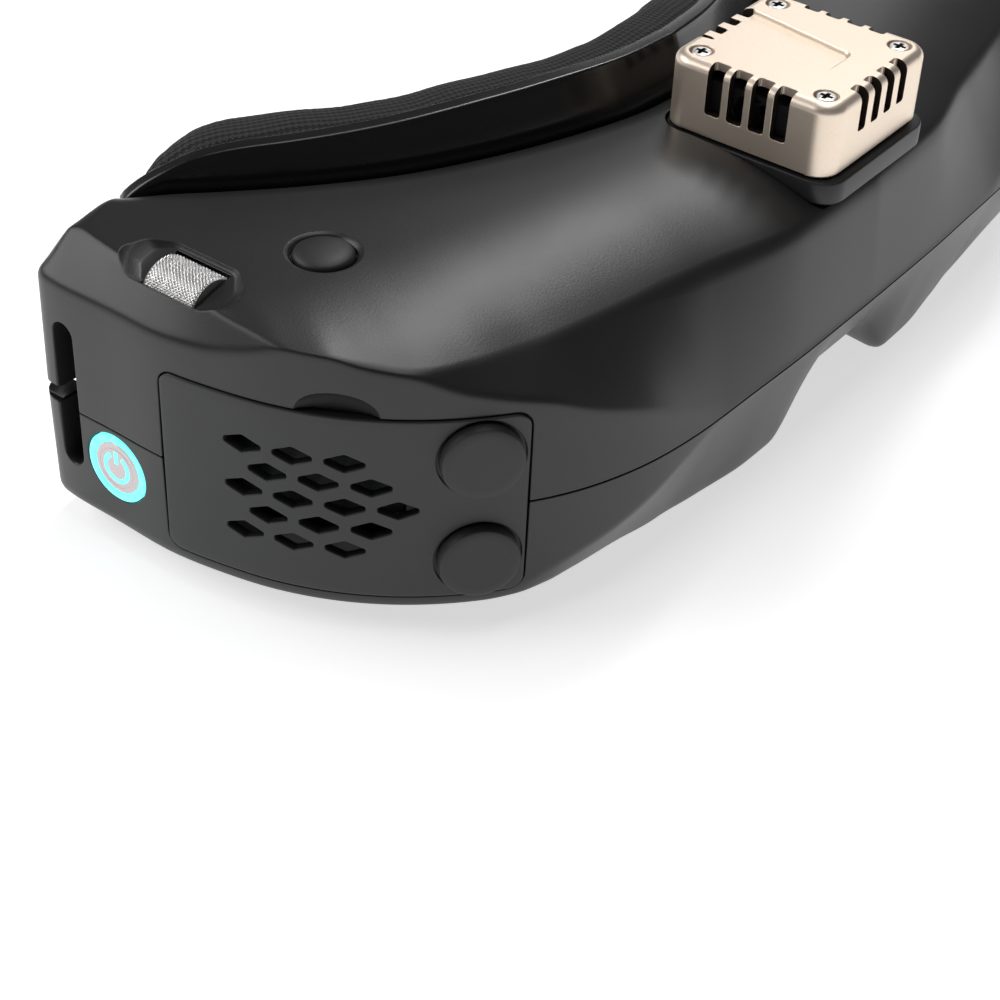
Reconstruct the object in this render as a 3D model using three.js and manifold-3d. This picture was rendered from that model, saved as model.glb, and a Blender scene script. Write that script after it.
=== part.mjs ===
// FPV goggles: a two-piece shell that curves round the face, with a foam-faced
// face plate, two focusing eyepieces, an air-cooled video unit and two antenna bays.
// Millimetres, +Z up. The front faces -Y and the wearer's right end is at -X.
import * as THREE from "three";
import { mergeVertices } from "three/addons/utils/BufferGeometryUtils.js";
import Module from "manifold-3d";

const wasm = await Module();
wasm.setup();

// ---------- driving dimensions ----------
const DEPTH_CENTRE = 21.82; // moves the plan so that the object's box is centred on Y
const PARTING_Z = 20.5; // height of the joint between the two shells
const SEAM = 0.15; // half the gap at that joint
const WALL = 2.2; // shell thickness
const GAP = 0.3; // clearance between neighbouring pieces
const DECK_Z = 45; // height of the shell's flat top deck
const ROLL = { reach: 5.5, drop: 4 }; // the deck's rounded fall to the face plate
const CAVITY_END = 137; // arc position where the hollow stops, short of the strap slot

// Half of the shell's outline in plan, from the middle of the front round to the rear corner.
const FRONT_LINE = [
  [0, -17.8], [20, -17.6], [31, -17.2], [46, -16.5], [56, -15], [64, -12.5], [70, -9.6],
  [75.5, -5.9], [81, -1.2], [86, 4.4], [90.3, 11], [93.6, 18.5], [95.8, 27], [97, 35],
  [97, 45], [97, 54.5], [96.5, 57.3], [95, 58.8], [92, 59.3],
];
// Half of the line where the shell meets the face plate, from the middle to the end.
const REAR_LINE = [
  [0, 19], [12, 20.2], [26, 24.2], [38, 29], [50, 35.3], [61, 43.3], [69, 50.3], [74, 55],
  [79, 59],
];
// How far along the rear line each section of the shell lands, by its arc on the front line.
const FAN_OUT = [
  [0, 0], [20, 12], [40, 27], [56, 40], [70, 53.5], [85, 67], [100, 77.5], [113, 84],
  [126, 88], [137, 90],
];
// Heights of the outer wall's upper and lower edges along the front line.
const WALL_TOP = [
  [0, 21], [38, 21.5], [56, 29], [66, 33], [72, 35.7], [78, 37.2], [84, 38.8], [90, 41.2],
  [96, 42.2], [101, 43.4], [106, 43.6], [112, 41.8], [118, 40.4], [127, 40], [143, 40],
  [148, 40], [150, 39.4], [153, 38.4],
];
const WALL_BOTTOM = [
  [0, 20], [40, 19.5], [47.5, 17], [54, 14], [60, 11.6], [65.5, 9.8], [70.5, 8], [75, 6],
  [80, 4.8], [153, 4.8],
];
// The edge of the top deck: how far in from the wall it lies, and its height.
const DECK_INSET = [
  [0, 2], [20, 2.8], [40, 7], [56, 9], [70, 7.5], [80, 4.3], [90, 1.2], [101, 1], [106, 1],
  [112, 3.2], [118, 5.5], [127, 7.2], [153, 7.2],
];
const DECK_EDGE = [
  [0, 40.5], [40, 40.3], [70, 40.4], [80, 41], [90, 41.8], [96, 42.7], [101, 43.7], [106, 43.9],
  [112, 44.3], [118, 44.8], [142, 44.9], [146, 44.5], [148, 43.4], [150, 41.6], [153, 39.6],
];
// How far behind that edge the deck goes on rising.
const DECK_RISE = [[0, 24], [84, 24], [100, 15], [112, 10], [153, 10]];
// The deck's height along the arc: it falls at the rear corner of each end.
const DECK_LEVEL = [
  [0, 45], [142, 45], [146, 44.6], [148, 43.6], [150, 41.9], [153, 40.4],
];
// The front edge of the underside: how far in from the wall it lies, and its height.
const BELLY_INSET = [
  [0, 5], [25, 5], [38, 6.3], [46, 7.2], [56, 6.2], [66, 3.5], [71, 1.8], [76, 1], [153, 1],
];
const BELLY_EDGE = [
  [0, 0], [46, 0], [56, 1.8], [66, 3], [76, 3.4], [153, 3.4],
];
const BELLY_REAR = [
  [0, 0], [70, 0], [95, 2.2], [113, 3.4], [153, 3.4],
];
const NOSE = { halfWidth: 19, flat: 7, front: 10, rearHalf: 27, rearFlat: 9, rear: 14.5 };

// Antenna bay cover, in arc position and height on the wall.
const COVER = { from: 74.8, to: 125.6, low: 5.9, high: 34.8, corner: 2.2, thick: 1.8, gap: 0.25 };
const VENT = {
  width: 5.4, height: 2.8, tip: 0.3, pitch: 7, row: 3.54, middleArc: 102.5, middleZ: 20.6,
};
const PLUG = { arc: 81.3, spread: 8.2, middleZ: 20.3, radius: 5.6, proud: 1.5, stem: 3.1 };
const STRAP = { from: 51.3, to: 54.9, low: 10.8, high: 34, slitLow: 20, slitHigh: 23.4 };
const WHEEL = {
  x: 88.3, y: 37.4, z: 40.6, radius: 4.5, width: 9, teeth: 24, recess: 1.25, tilt: 10,
};
const KEY = { x: 73.7, y: 26.8, radius: 4.2, recess: 5.2 };
const POWER = { y: 44.4, z: 14.2, ring: 5.3, cap: 4.0 };
const FAN = {
  half: 14, screws: 10.35, top: 56, foot: 44.9, frame: 12.4, wall: 1.3, corner: 3.6,
  slotPitch: 3.66, sideSlot: { width: 2.6, height: 7.4 }, frontSlot: { width: 2, height: 6 },
};
const PANEL = { rearHalf: 6.8, frontHalf: 3.4, front: -6.7, depth: 0.7 }; // sunk in the fan cover's top
const PLINTH = {
  halfX: 14.4, halfY: 14.9, shift: -0.5, top: 44.6, ledge: 41, neck: 1.9, bottom: 37.6, corner: 4,
};
const EYE = { x: 32, z: 20.5, radius: 15, front: -5, back: 13 };
const RAILS = { y: 3.4, low: 6.1, high: 36.1, half: 2.4, width: 9, rod: 1, clearance: 0.3 };

// ---------- small helpers ----------
const v2 = (x, y) => new THREE.Vector2(x, y);
const v3 = (x, y, z) => new THREE.Vector3(x, y, z);
const smooth = (t) => THREE.MathUtils.smoothstep(t, 0, 1);

// Monotone cubic through [x, y] pairs, so that a table gives a curve without overshoot.
function follow(table, x) {
  const n = table.length;
  if (x <= table[0][0]) return table[0][1];
  if (x >= table[n - 1][0]) return table[n - 1][1];
  const slope = (i) => (table[i + 1][1] - table[i][1]) / (table[i + 1][0] - table[i][0]);
  const tangent = (i) => {
    if (i === 0) return slope(0);
    if (i === n - 1) return slope(n - 2);
    const [before, after] = [slope(i - 1), slope(i)];
    return before * after <= 0 ? 0 : (2 * before * after) / (before + after);
  };
  const i = table.findIndex((row, k) => k < n - 1 && x < table[k + 1][0]);
  const width = table[i + 1][0] - table[i][0];
  const t = (x - table[i][0]) / width;
  const [t2, t3] = [t * t, t * t * t];
  return (
    (2 * t3 - 3 * t2 + 1) * table[i][1] +
    (t3 - 2 * t2 + t) * width * tangent(i) +
    (3 * t2 - 2 * t3) * table[i + 1][1] +
    (t3 - t2) * width * tangent(i + 1)
  );
}

// A line in plan, walked by its length, with its mirror image at negative lengths.
function planLine(points) {
  const curve = new THREE.CatmullRomCurve3(points.map(([x, y]) => v3(x, y, 0)), false, "centripetal");
  curve.arcLengthDivisions = 1200;
  const length = curve.getLength();
  const at = (method, arc) => {
    const p = curve[method](Math.min(Math.abs(arc) / length, 1));
    if (arc < 0) method === "getPointAt" ? (p.x = -p.x) : (p.y = -p.y);
    return p;
  };
  return { length, point: (arc) => at("getPointAt", arc), tangent: (arc) => at("getTangentAt", arc) };
}
const frontLine = planLine(FRONT_LINE);
const rearLine = planLine(REAR_LINE);
FAN_OUT.push([frontLine.length, rearLine.length]);

// A closed mesh as a manifold-3d solid, and back.
function solid(geometry) {
  const bare = geometry.index ? geometry.toNonIndexed() : geometry.clone();
  for (const name of ["normal", "uv"]) bare.deleteAttribute(name);
  const merged = mergeVertices(bare, 1e-4);
  const vertProperties = merged.attributes.position.array;
  const triVerts = new Uint32Array(merged.index.array);
  return new wasm.Manifold(new wasm.Mesh({ numProp: 3, vertProperties, triVerts }));
}
function geometryOf(body) {
  const { vertProperties, triVerts } = body.getMesh();
  const geometry = new THREE.BufferGeometry();
  geometry.setAttribute("position", new THREE.BufferAttribute(vertProperties, 3));
  geometry.setIndex(new THREE.BufferAttribute(triVerts, 1));
  return geometry;
}
const join = (...bodies) => bodies.reduce((a, b) => a.add(b));
const cut = (body, ...cutters) => cutters.reduce((a, b) => a.subtract(b), body);

// A closed skin over rings of equal length. Each ring is { points, flat }, flat being its own plane.
function loft(rings) {
  const count = rings[0].points.length;
  const position = rings.flatMap((ring) => ring.points.flatMap((p) => [p.x, p.y, p.z]));
  let index = [];
  for (let r = 0; r < rings.length - 1; r++)
    for (let i = 0; i < count; i++) {
      const [a, b] = [r * count + i, r * count + ((i + 1) % count)];
      index.push(a, b, b + count, a, b + count, a + count);
    }
  const lids = [[0, rings[0]], [(rings.length - 1) * count, rings[rings.length - 1]]];
  lids.forEach(([start, ring], last) => {
    const keep = Boolean(last) !== THREE.ShapeUtils.isClockWise(ring.flat);
    for (const [a, b, c] of THREE.ShapeUtils.triangulateShape(ring.flat, [])) {
      const wound = keep ? [a, b, c] : [a, c, b];
      index.push(...wound.map((i) => start + i));
    }
  });
  const volume = index.reduce((sum, _, k) => {
    if (k % 3) return sum;
    const [a, b, c] = [0, 1, 2].map((j) => v3(...position.slice(index[k + j] * 3, index[k + j] * 3 + 3)));
    return sum + a.dot(b.cross(c));
  }, 0);
  if (volume < 0) index = index.map((_, k) => index[k - (k % 3) + (2 - (k % 3))]);
  const geometry = new THREE.BufferGeometry();
  geometry.setAttribute("position", new THREE.Float32BufferAttribute(position, 3));
  geometry.setIndex(index);
  return solid(geometry);
}

function box(x0, x1, y0, y1, z0, z1) {
  const geometry = new THREE.BoxGeometry(x1 - x0, y1 - y0, z1 - z0);
  geometry.translate((x0 + x1) / 2, (y0 + y1) / 2, (z0 + z1) / 2);
  return solid(geometry);
}

// A cylinder or cone along "x", "y" or "z", from low to high.
function rod(axis, [x, y, z], low, high, radius, sides = 16) {
  const geometry = new THREE.CylinderGeometry(radius, radius, high - low, sides);
  geometry.translate(0, (low + high) / 2, 0);
  if (axis === "z") geometry.rotateX(Math.PI / 2);
  if (axis === "x") geometry.rotateZ(-Math.PI / 2);
  geometry.translate(axis === "x" ? 0 : x, axis === "y" ? 0 : y, axis === "z" ? 0 : z);
  return solid(geometry);
}

function roundedOutline(halfX, halfY, corner) {
  const outline = new THREE.Shape();
  const [x, y, r] = [halfX, halfY, corner];
  outline.moveTo(-x + r, -y);
  outline.lineTo(x - r, -y).absarc(x - r, -y + r, r, -Math.PI / 2, 0);
  outline.lineTo(x, y - r).absarc(x - r, y - r, r, 0, Math.PI / 2);
  outline.lineTo(-x + r, y).absarc(-x + r, y - r, r, Math.PI / 2, Math.PI);
  outline.lineTo(-x, -y + r).absarc(-x + r, -y + r, r, Math.PI, 1.5 * Math.PI);
  return outline;
}

function prism(outline, low, high, bevel = 0) {
  const geometry = new THREE.ExtrudeGeometry(outline, {
    depth: high - low - 2 * bevel,
    bevelEnabled: bevel > 0,
    bevelThickness: bevel,
    bevelSize: bevel,
    bevelOffset: -bevel,
    bevelSegments: 2,
    curveSegments: 3,
  });
  geometry.translate(0, 0, low + bevel);
  return geometry;
}

// ---------- the shell's surface ----------
function section(arc) {
  const front = frontLine.point(arc);
  const rear = rearLine.point(Math.sign(arc) * follow(FAN_OUT, Math.abs(arc)));
  const inward = rear.clone().sub(front);
  const depth = inward.length();
  return { front, inward: inward.divideScalar(depth), depth };
}
const noseRise = (arc, half, flat, height) => height * smooth((half - arc) / (half - flat));

// The corners of the shell's cross-section at an arc position: in from the wall, and up.
function outline(arc, depth) {
  const a = Math.abs(arc);
  const [inset, edge] = [follow(DECK_INSET, a), follow(DECK_EDGE, a)];
  const [top, bottom] = [follow(WALL_TOP, a), follow(WALL_BOTTOM, a)];
  const bellyFront = follow(BELLY_EDGE, a) + noseRise(a, NOSE.halfWidth, NOSE.flat, NOSE.front);
  const bellyRear = follow(BELLY_REAR, a) + noseRise(a, NOSE.rearHalf, NOSE.rearFlat, NOSE.rear);
  const [level, roll] = [follow(DECK_LEVEL, a), Math.min(ROLL.reach, (depth - inset) * 0.45)];
  const rise = Math.min(follow(DECK_RISE, a), (depth - inset - roll) * 0.95);
  return {
    depth, inset, edge, top, bottom, level, roll, rise, bellyInset: follow(BELLY_INSET, a),
    bellyFront, bellyRear,
  };
}

// A point of the top deck, t of the way over the rise behind its edge: it rises in a parabola.
function deckPoint(o, t) {
  return v2(o.inset + o.rise * t, o.level - (o.level - o.edge) * (1 - t) ** 2);
}
// A point of the deck's rounded fall to the face plate, by its angle from the top.
function rollPoint(o, degrees) {
  const angle = THREE.MathUtils.degToRad(degrees);
  return v2(o.depth - o.roll * (1 - Math.sin(angle)), o.level - ROLL.drop * (1 - Math.cos(angle)));
}

// Rounds a polyline's inner corners with short curves of a given setback.
function rounded(corners, setbacks, steps) {
  const points = [];
  corners.forEach((corner, i) => {
    const setback = setbacks[i] ?? 0;
    if (!setback) return points.push(corner.clone());
    const [before, after] = [corners[i - 1], corners[i + 1]];
    const reach = (to) => corner.clone().lerp(to, Math.min(setback / corner.distanceTo(to), 0.45));
    const curve = new THREE.QuadraticBezierCurve(reach(before), corner, reach(after));
    points.push(...curve.getPoints(steps));
  });
  return points;
}

function outerProfile(arc, depth) {
  const o = outline(arc, depth);
  const corners = [
    ...[90, 62, 34, 0].map((angle) => rollPoint(o, angle)),
    ...[1, 0.68, 0.4, 0.18].map((t) => deckPoint(o, t)), v2(o.inset, o.edge),
    v2(0.3, o.top), v2(0, PARTING_Z), v2(0.3, o.bottom), v2(o.bellyInset, o.bellyFront),
    v2(depth, o.bellyRear),
  ];
  return rounded(corners, [0, 0, 0, 0, 0, 0, 0, 0, 2.4, 0, 0, 0, 2.2, 0], 2);
}
function innerProfile(arc, depth) {
  const o = outline(arc, depth);
  const top = Math.max(o.top - 1.2, PARTING_Z + 0.6);
  const bottom = Math.min(o.bottom + 1.2, PARTING_Z - 0.6);
  const under = (p) => v2(p.x, p.y - WALL);
  return [
    v2(depth - WALL, o.level - ROLL.drop - 0.6), under(rollPoint(o, 0)), under(deckPoint(o, 0.45)),
    v2(o.inset + WALL * 0.9, o.edge - WALL), v2(WALL, top), v2(WALL, bottom),
    v2(o.bellyInset + WALL, o.bellyFront + WALL), v2(depth - WALL, o.bellyRear + WALL),
  ];
}
function ring(arc, profile) {
  const { front, inward, depth } = section(arc);
  const flat = profile(arc, depth);
  return { flat, points: flat.map((p) => v3(front.x, front.y, p.y).addScaledVector(inward, p.x)) };
}
function arcs(limit, list) {
  const half = list.filter((a) => a < limit).concat(limit);
  return [...half.slice(1).reverse().map((a) => -a), ...half];
}
const OUTER_ARCS = [0, 9, 14, 20, 30, 40, 49, 57, 65, 73, 80, 86, 92, 98, 103, 108, 113, 119, 127,
  137, 146, 149.5];
const INNER_ARCS = [0, 9, 14, 19, 24, 30, 46, 60, 74, 86, 98, 110, 123];

// ---------- places on the outer wall ----------
function wallPoint(arc, out, z) {
  const [p, t] = [frontLine.point(arc), frontLine.tangent(arc)];
  return v3(p.x + t.y * out, p.y - t.x * out, z);
}
function ontoWall(geometry, arc, z, out = 0) {
  const t = frontLine.tangent(arc);
  const frame = new THREE.Matrix4().makeBasis(v3(t.x, t.y, 0), v3(0, 0, 1), v3(t.y, -t.x, 0));
  return geometry.clone().applyMatrix4(frame.setPosition(wallPoint(arc, out, z)));
}
// A curved slab on the wall with a rounded-rectangle outline, between two distances out from it.
function wallSlab(from, to, low, high, corner, inner, outer) {
  const turn = [0, 0.3, 1].map((t) => corner * t);
  const span = to - from - 2 * corner;
  const middle = [1, 2, 3, 4, 5].map((i) => from + corner + (span * i) / 6);
  const stations = [...turn.map((t) => from + t), ...middle, ...turn.map((t) => to - t).reverse()];
  const rings = stations.map((arc) => {
    const edge = Math.min(arc - from, to - arc, corner);
    const drop = corner - Math.sqrt(Math.max(corner ** 2 - (corner - edge) ** 2, 0));
    const [a, b] = [low + drop, high - drop];
    const flat = [v2(inner, a), v2(inner, b), v2(outer, b), v2(outer, a)];
    return { flat, points: flat.map((p) => wallPoint(arc, p.x, p.y)) };
  });
  return loft(rings);
}
// A diamond whose left and right tips are cut off, which leaves six sides.
function ventOutline() {
  const [w, h, e] = [VENT.width / 2, VENT.height / 2, VENT.tip];
  return new THREE.Shape([v2(-w, -e), v2(0, -h), v2(w, -e), v2(w, e), v2(0, h), v2(-w, e)]);
}
const VENT_ROWS = [[2, -3, -1, 1], [1, -2, 0, 2], [0, -3, -1, 1, 3], [-1, -2, 0, 2], [-2, -3, -1, 1]];
function ventHoles() {
  const hole = prism(ventOutline(), -6, 6);
  return VENT_ROWS.flatMap(([row, ...columns]) =>
    columns.map((c) => {
      const arc = VENT.middleArc - (c * VENT.pitch) / 2;
      return solid(ontoWall(hole, arc, VENT.middleZ + row * VENT.row));
    }),
  );
}

// ---------- the end fittings, made for the +X end ----------
function plugHeights() {
  return [PLUG.middleZ - PLUG.spread, PLUG.middleZ + PLUG.spread];
}
const wallRod = (radius, from, to, arc, z, sides = 16) => {
  const geometry = new THREE.CylinderGeometry(radius, radius, to - from, sides);
  geometry.rotateX(Math.PI / 2).translate(0, 0, (from + to) / 2);
  return solid(ontoWall(geometry, arc, z));
};
function coverOpening() {
  const g = COVER.gap;
  return wallSlab(COVER.from - g, COVER.to + g, COVER.low - g, COVER.high + g, COVER.corner + g, -4, 3);
}
function coverBody() {
  const slab = wallSlab(COVER.from, COVER.to, COVER.low, COVER.high, COVER.corner, -COVER.thick, 0.05);
  const sockets = plugHeights().map((z) => wallRod(PLUG.stem + 0.3, -6, 3, PLUG.arc, z));
  return cut(slab, ...ventHoles(), ...sockets);
}
function fingerNotch(z) {
  const geometry = new THREE.SphereGeometry(1, 12, 6);
  geometry.scale(6, 3.4, 1.5);
  return solid(ontoWall(geometry, 100, z));
}
function strapChannel() {
  const { from, to, low, high, slitLow, slitHigh } = STRAP;
  const round = (y0, y1, x0, x1) => box(x0, x1, y0, y1, low, high);
  return join(
    round(from, to, 88.6, 101),
    round(from, 63, 88.6, 92.2),
    box(91, 101, to - 1, 63, slitLow, slitHigh),
  );
}
function wheelRecess() {
  const shape = new THREE.Shape([
    v2(-4.6, -6.2), v2(-1.2, -9.3), v2(2.4, -9.3), v2(4.6, -6.2), v2(4.6, 6.2), v2(1.2, 9.3), v2(-2.4, 9.3),
    v2(-4.6, 6.2),
  ]);
  const geometry = prism(shape, 0, 8);
  geometry.rotateY(THREE.MathUtils.degToRad(WHEEL.tilt));
  geometry.translate(WHEEL.x, WHEEL.y, DECK_Z - WHEEL.recess);
  return solid(geometry);
}
function wheelWell() {
  const { x, y, z, radius, width } = WHEEL;
  const reach = width / 2 + GAP;
  return rod("y", [x, y, z], y - reach, y + reach, radius + 0.4, 24);
}
function wheelBody() {
  const { x, y, z, radius, width, teeth } = WHEEL;
  const bore = rod("y", [x, y, z], y - width, y + width, 1.3, 12);
  return cut(rod("y", [x, y, z], y - width / 2, y + width / 2, radius, teeth), bore);
}
function wheelCarrier() {
  const { x, y, z, width } = WHEEL;
  const reach = width / 2 + GAP;
  const cheek = (y0, y1) => box(x - 1.6, x + 1.6, y0, y1, z - 6.6, z + 1);
  return join(
    rod("y", [x, y, z], y - reach - 0.8, y + reach + 0.8, 0.9, 8),
    cheek(y - reach - 0.9, y - reach),
    cheek(y + reach, y + reach + 0.9),
    box(x - 1.6, x + 1.6, y - reach - 0.9, y + reach + 0.9, z - 6.6, z - 5.3),
  );
}
const carrierRoom = () => {
  const { x, y, z, width } = WHEEL;
  return box(x - 2.2, x + 2.2, y - width / 2 - 1.8, y + width / 2 + 1.8, z - 8, z + 1.3);
};
function keyBody() {
  const profile = [
    [0, DECK_Z - 4.6], [5, DECK_Z - 4.6], [5, DECK_Z - 3.7], [KEY.radius, DECK_Z - 3.7],
    [KEY.radius, DECK_Z - 0.1], [KEY.radius - 0.7, DECK_Z + 0.4], [2, DECK_Z + 0.65], [0, DECK_Z + 0.7],
  ];
  const geometry = new THREE.LatheGeometry(profile.map(([r, z]) => v2(r, z)), 20);
  geometry.rotateX(Math.PI / 2).translate(KEY.x, KEY.y, 0);
  return solid(geometry);
}
function keyHole() {
  return join(
    rod("z", [KEY.x, KEY.y, 0], 38, 50, KEY.radius + 0.25, 20),
    rod("z", [KEY.x, KEY.y, 0], DECK_Z - 0.5, 50, KEY.recess, 20),
  );
}
function plugBody(z) {
  const profile = [
    [0, -3.6], [PLUG.stem, -3.6], [PLUG.stem, GAP], [PLUG.radius, GAP], [PLUG.radius, PLUG.proud - 0.3],
    [PLUG.radius - 0.6, PLUG.proud], [0, PLUG.proud],
  ];
  const geometry = new THREE.LatheGeometry(profile.map(([r, h]) => v2(r, h)), 20);
  geometry.rotateX(Math.PI / 2);
  return ontoWall(geometry, PLUG.arc, z);
}
function antennaSocket(z) {
  const geometry = new THREE.CylinderGeometry(2.9, 2.9, 7, 6).rotateX(Math.PI / 2).translate(0, 0, -7.6);
  return ontoWall(geometry, PLUG.arc, z);
}
function receiverBoard() {
  const geometry = new THREE.BoxGeometry(26, 20, 1.4).translate(0, 0, -7.6);
  return ontoWall(geometry, 106, PARTING_Z);
}
function powerHole() {
  return rod("x", [0, POWER.y, POWER.z], 91.4, 99, POWER.ring + 0.25, 24);
}
const PORTS = {
  power_jack: { y: 43, z: 12, width: 8, height: 8 },
  video_port: { y: 43, z: 28, width: 10.6, height: 5 },
};
function portBody(port, grow, from, to) {
  const [w, h] = [port.width / 2 + grow, port.height / 2 + grow];
  return box(from, to, port.y - w, port.y + w, port.z - h, port.z + h);
}

// ---------- shells ----------
function shells() {
  const outer = loft(arcs(frontLine.length, OUTER_ARCS).map((arc) => ring(arc, outerProfile)));
  const hollow = loft(arcs(CAVITY_END, INNER_ARCS).map((arc) => ring(arc, innerProfile)));
  const both = (body) => [body, body.mirror([1, 0, 0])];
  const open = cut(
    outer, hollow, eyeWindow(-4, 4, 0), ...both(coverOpening()), ...both(strapChannel()),
    ...both(fingerNotch(COVER.high)), ...both(fingerNotch(COVER.low).translate([0, 0, -1.4])),
  );
  const half = (low, high) => box(-120, 120, -40, 80, low, high);
  const upper = cut(
    open.intersect(half(PARTING_Z + SEAM, 60)), ...both(wheelRecess()), ...both(wheelWell()),
    ...both(carrierRoom()), ...both(keyHole()), portBody(PORTS.video_port, 0.25, 90.5, 99),
    fanSeat(GAP, 50),
  );
  const slots = [-1, 1].map((side) => box(side * EYE.x - 8, side * EYE.x + 8, 0, 6, -1, 4));
  const screwHoles = CASE_SCREWS.map(([x, y]) => rod("z", [x, y, 0], -1, 5, 1.9, 10));
  const lower = cut(
    open.intersect(half(-1, PARTING_Z - SEAM)), powerHole().mirror([1, 0, 0]), ...slots, ...screwHoles,
    portBody(PORTS.power_jack, 0.25, 90.5, 99),
  );
  return { upper, lower };
}

// ---------- the face side ----------
function behind(q, out, z) {
  const [p, t] = [rearLine.point(q), rearLine.tangent(q)];
  return v3(p.x - t.y * out, p.y + t.x * out, z);
}
const FOAM_END = 87.5;
const PLATE_TOP = [
  [0, 51.4], [20, 51.3], [35, 50.9], [51, 50.1], [66, 49.2], [73, 48.8], [79.5, 47.9], [84, 46.3],
  [88, 44.2], [91.5, 41.4],
];
const PLATE_BOTTOM = [[0, 0], [66, 0], [78, 2], [86, 6.5], [91.5, 12]];
const FOAM_THICKNESS = [[0, 11], [74, 11], [79.5, 9.8], [83.5, 7], [86.5, 3.4], [FOAM_END, 1.5]];
const FOAM_TOP = [[0, 49.7], [66, 48.4], [80, 47.3], [85.5, 45], [FOAM_END, 43.8]];
const plateTop = (q) => follow(PLATE_TOP, Math.abs(q));
function plateBottom(q) {
  const a = Math.abs(q);
  return follow(PLATE_BOTTOM, a) + noseRise(a, NOSE.rearHalf, NOSE.rearFlat, NOSE.rear);
}
const FACE_ARCS = [0, 6, 12, 18, 24, 32, 40, 48, 56, 64, 70, 75, 80, 84, 87.5];
const WINDOW_END = 74;

// The eye opening: one window that narrows over the nose. Grow widens it.
function eyeWindow(from, to, grow) {
  const end = WINDOW_END + grow;
  const rings = arcs(end, [0, 6, 12, 18, 24, 32, 40, 50, 60, 66, 70, 73]).map((q) => {
    const a = Math.abs(q);
    const round = 12 - Math.sqrt(Math.max(144 - Math.max(a - (end - 12), 0) ** 2, 0));
    const low = 8 - grow + noseRise(a, 22, 8, 12) + round;
    const high = 40 + grow - round;
    const flat = [v2(from, low), v2(from, high), v2(to, high), v2(to, low)];
    return { flat, points: flat.map((p) => behind(q, p.x, p.y)) };
  });
  return loft(rings);
}
function facePlate() {
  const rings = arcs(91, FACE_ARCS).map((q) => {
    const [low, high] = [plateBottom(q), plateTop(q)];
    const kink = Math.min(44.8, high - 1.2);
    const flare = 2.5 * Math.min((high - kink) / 6, 1);
    const flat = [
      v2(GAP, low), v2(GAP, kink), v2(GAP + flare, high), v2(2.5 + flare, high), v2(2.6, kink), v2(2.6, low),
    ];
    return { flat, points: flat.map((p) => behind(q, p.x, p.y)) };
  });
  return cut(loft(rings), eyeWindow(-2, 6, 0));
}
function faceFoam() {
  const rings = arcs(FOAM_END, FACE_ARCS.slice(0, -2)).map((q) => {
    const a = Math.abs(q);
    const thick = follow(FOAM_THICKNESS, a);
    const [low, high] = [plateBottom(q) + 1.5, follow(FOAM_TOP, a)];
    const lean = Math.min(2.2, thick * 0.3);
    const flat = [
      v2(3, low), v2(3, Math.min(44, high - 1)), v2(3 + lean, high), v2(2.4 + thick, high),
      v2(3 + thick, high - 2.5), v2(3 + thick, low + 2), v2(2 + thick, low),
    ];
    return { flat, points: flat.map((p) => behind(q, p.x, p.y)) };
  });
  return cut(loft(rings), eyeWindow(0, 16, 1.5));
}

// ---------- air-cooled video unit ----------
function fanHousing() {
  const outer = solid(prism(roundedOutline(FAN.half, FAN.half, FAN.corner), FAN.foot - 2, FAN.top, 1.6));
  const inner = roundedOutline(FAN.half - FAN.wall, FAN.half - FAN.wall, FAN.corner - FAN.wall);
  const hollow = solid(prism(inner, FAN.foot - 3, FAN.top - FAN.wall));
  const slots = [];
  for (const offset of [-1.5, -0.5, 0.5, 1.5])
    for (const side of [-1, 1]) {
      const m = offset * FAN.slotPitch;
      const [inside, outside] = side > 0 ? [FAN.half - 2.2, 16] : [-16, -FAN.half + 2.2];
      const [wide, narrow] = [FAN.sideSlot.width / 2, FAN.frontSlot.width / 2];
      const high = FAN.top + 2;
      slots.push(box(inside, outside, m - wide, m + wide, FAN.top - FAN.sideSlot.height, high));
      slots.push(box(m - narrow, m + narrow, inside, outside, FAN.top - FAN.frontSlot.height, high));
    }
  const heads = screwPlaces().map(([x, y]) => rod("z", [x, y, 0], FAN.top - 4, FAN.top + 1, 1.1, 8));
  const sinks = screwPlaces().map(([x, y]) => rod("z", [x, y, 0], FAN.top - 0.8, FAN.top + 1, 1.8, 12));
  const below = box(-20, 20, -20, 20, FAN.foot - 4, FAN.foot);
  return cut(outer, below, hollow, ...slots, ...heads, ...sinks, panelRecess());
}
// The shallow panel in the fan cover's top, which narrows towards the front.
function panelRecess() {
  const { rearHalf, frontHalf, front, depth } = PANEL;
  const slope = (rearHalf - frontHalf) / (FAN.half - front);
  const rear = FAN.half + 2;
  const wide = frontHalf + slope * (rear - front);
  const narrow = [v2(-frontHalf, front + 1), v2(-frontHalf + 1, front)];
  const outline = [v2(-wide, rear), ...narrow, ...narrow.map((p) => v2(-p.x, p.y)).reverse(), v2(wide, rear)];
  return solid(prism(new THREE.Shape(outline), FAN.top - depth, FAN.top + 1));
}
function screwPlaces() {
  const p = FAN.screws;
  return [[-p, -p], [p, -p], [p, p], [-p, p]];
}
function fanScrew(x, y) {
  return join(
    cut(rod("z", [x, y, 0], FAN.top - 0.7, FAN.top - 0.05, 1.5, 12), crossSlot(x, y)),
    rod("z", [x, y, 0], FAN.foot + 0.5, FAN.top - 0.6, 0.8, 8),
  );
}
function crossSlot(x, y) {
  const arm = (dx, dy) => box(x - dx, x + dx, y - dy, y + dy, FAN.top - 0.4, FAN.top + 1);
  return join(arm(0.95, 0.22), arm(0.22, 0.95));
}
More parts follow.
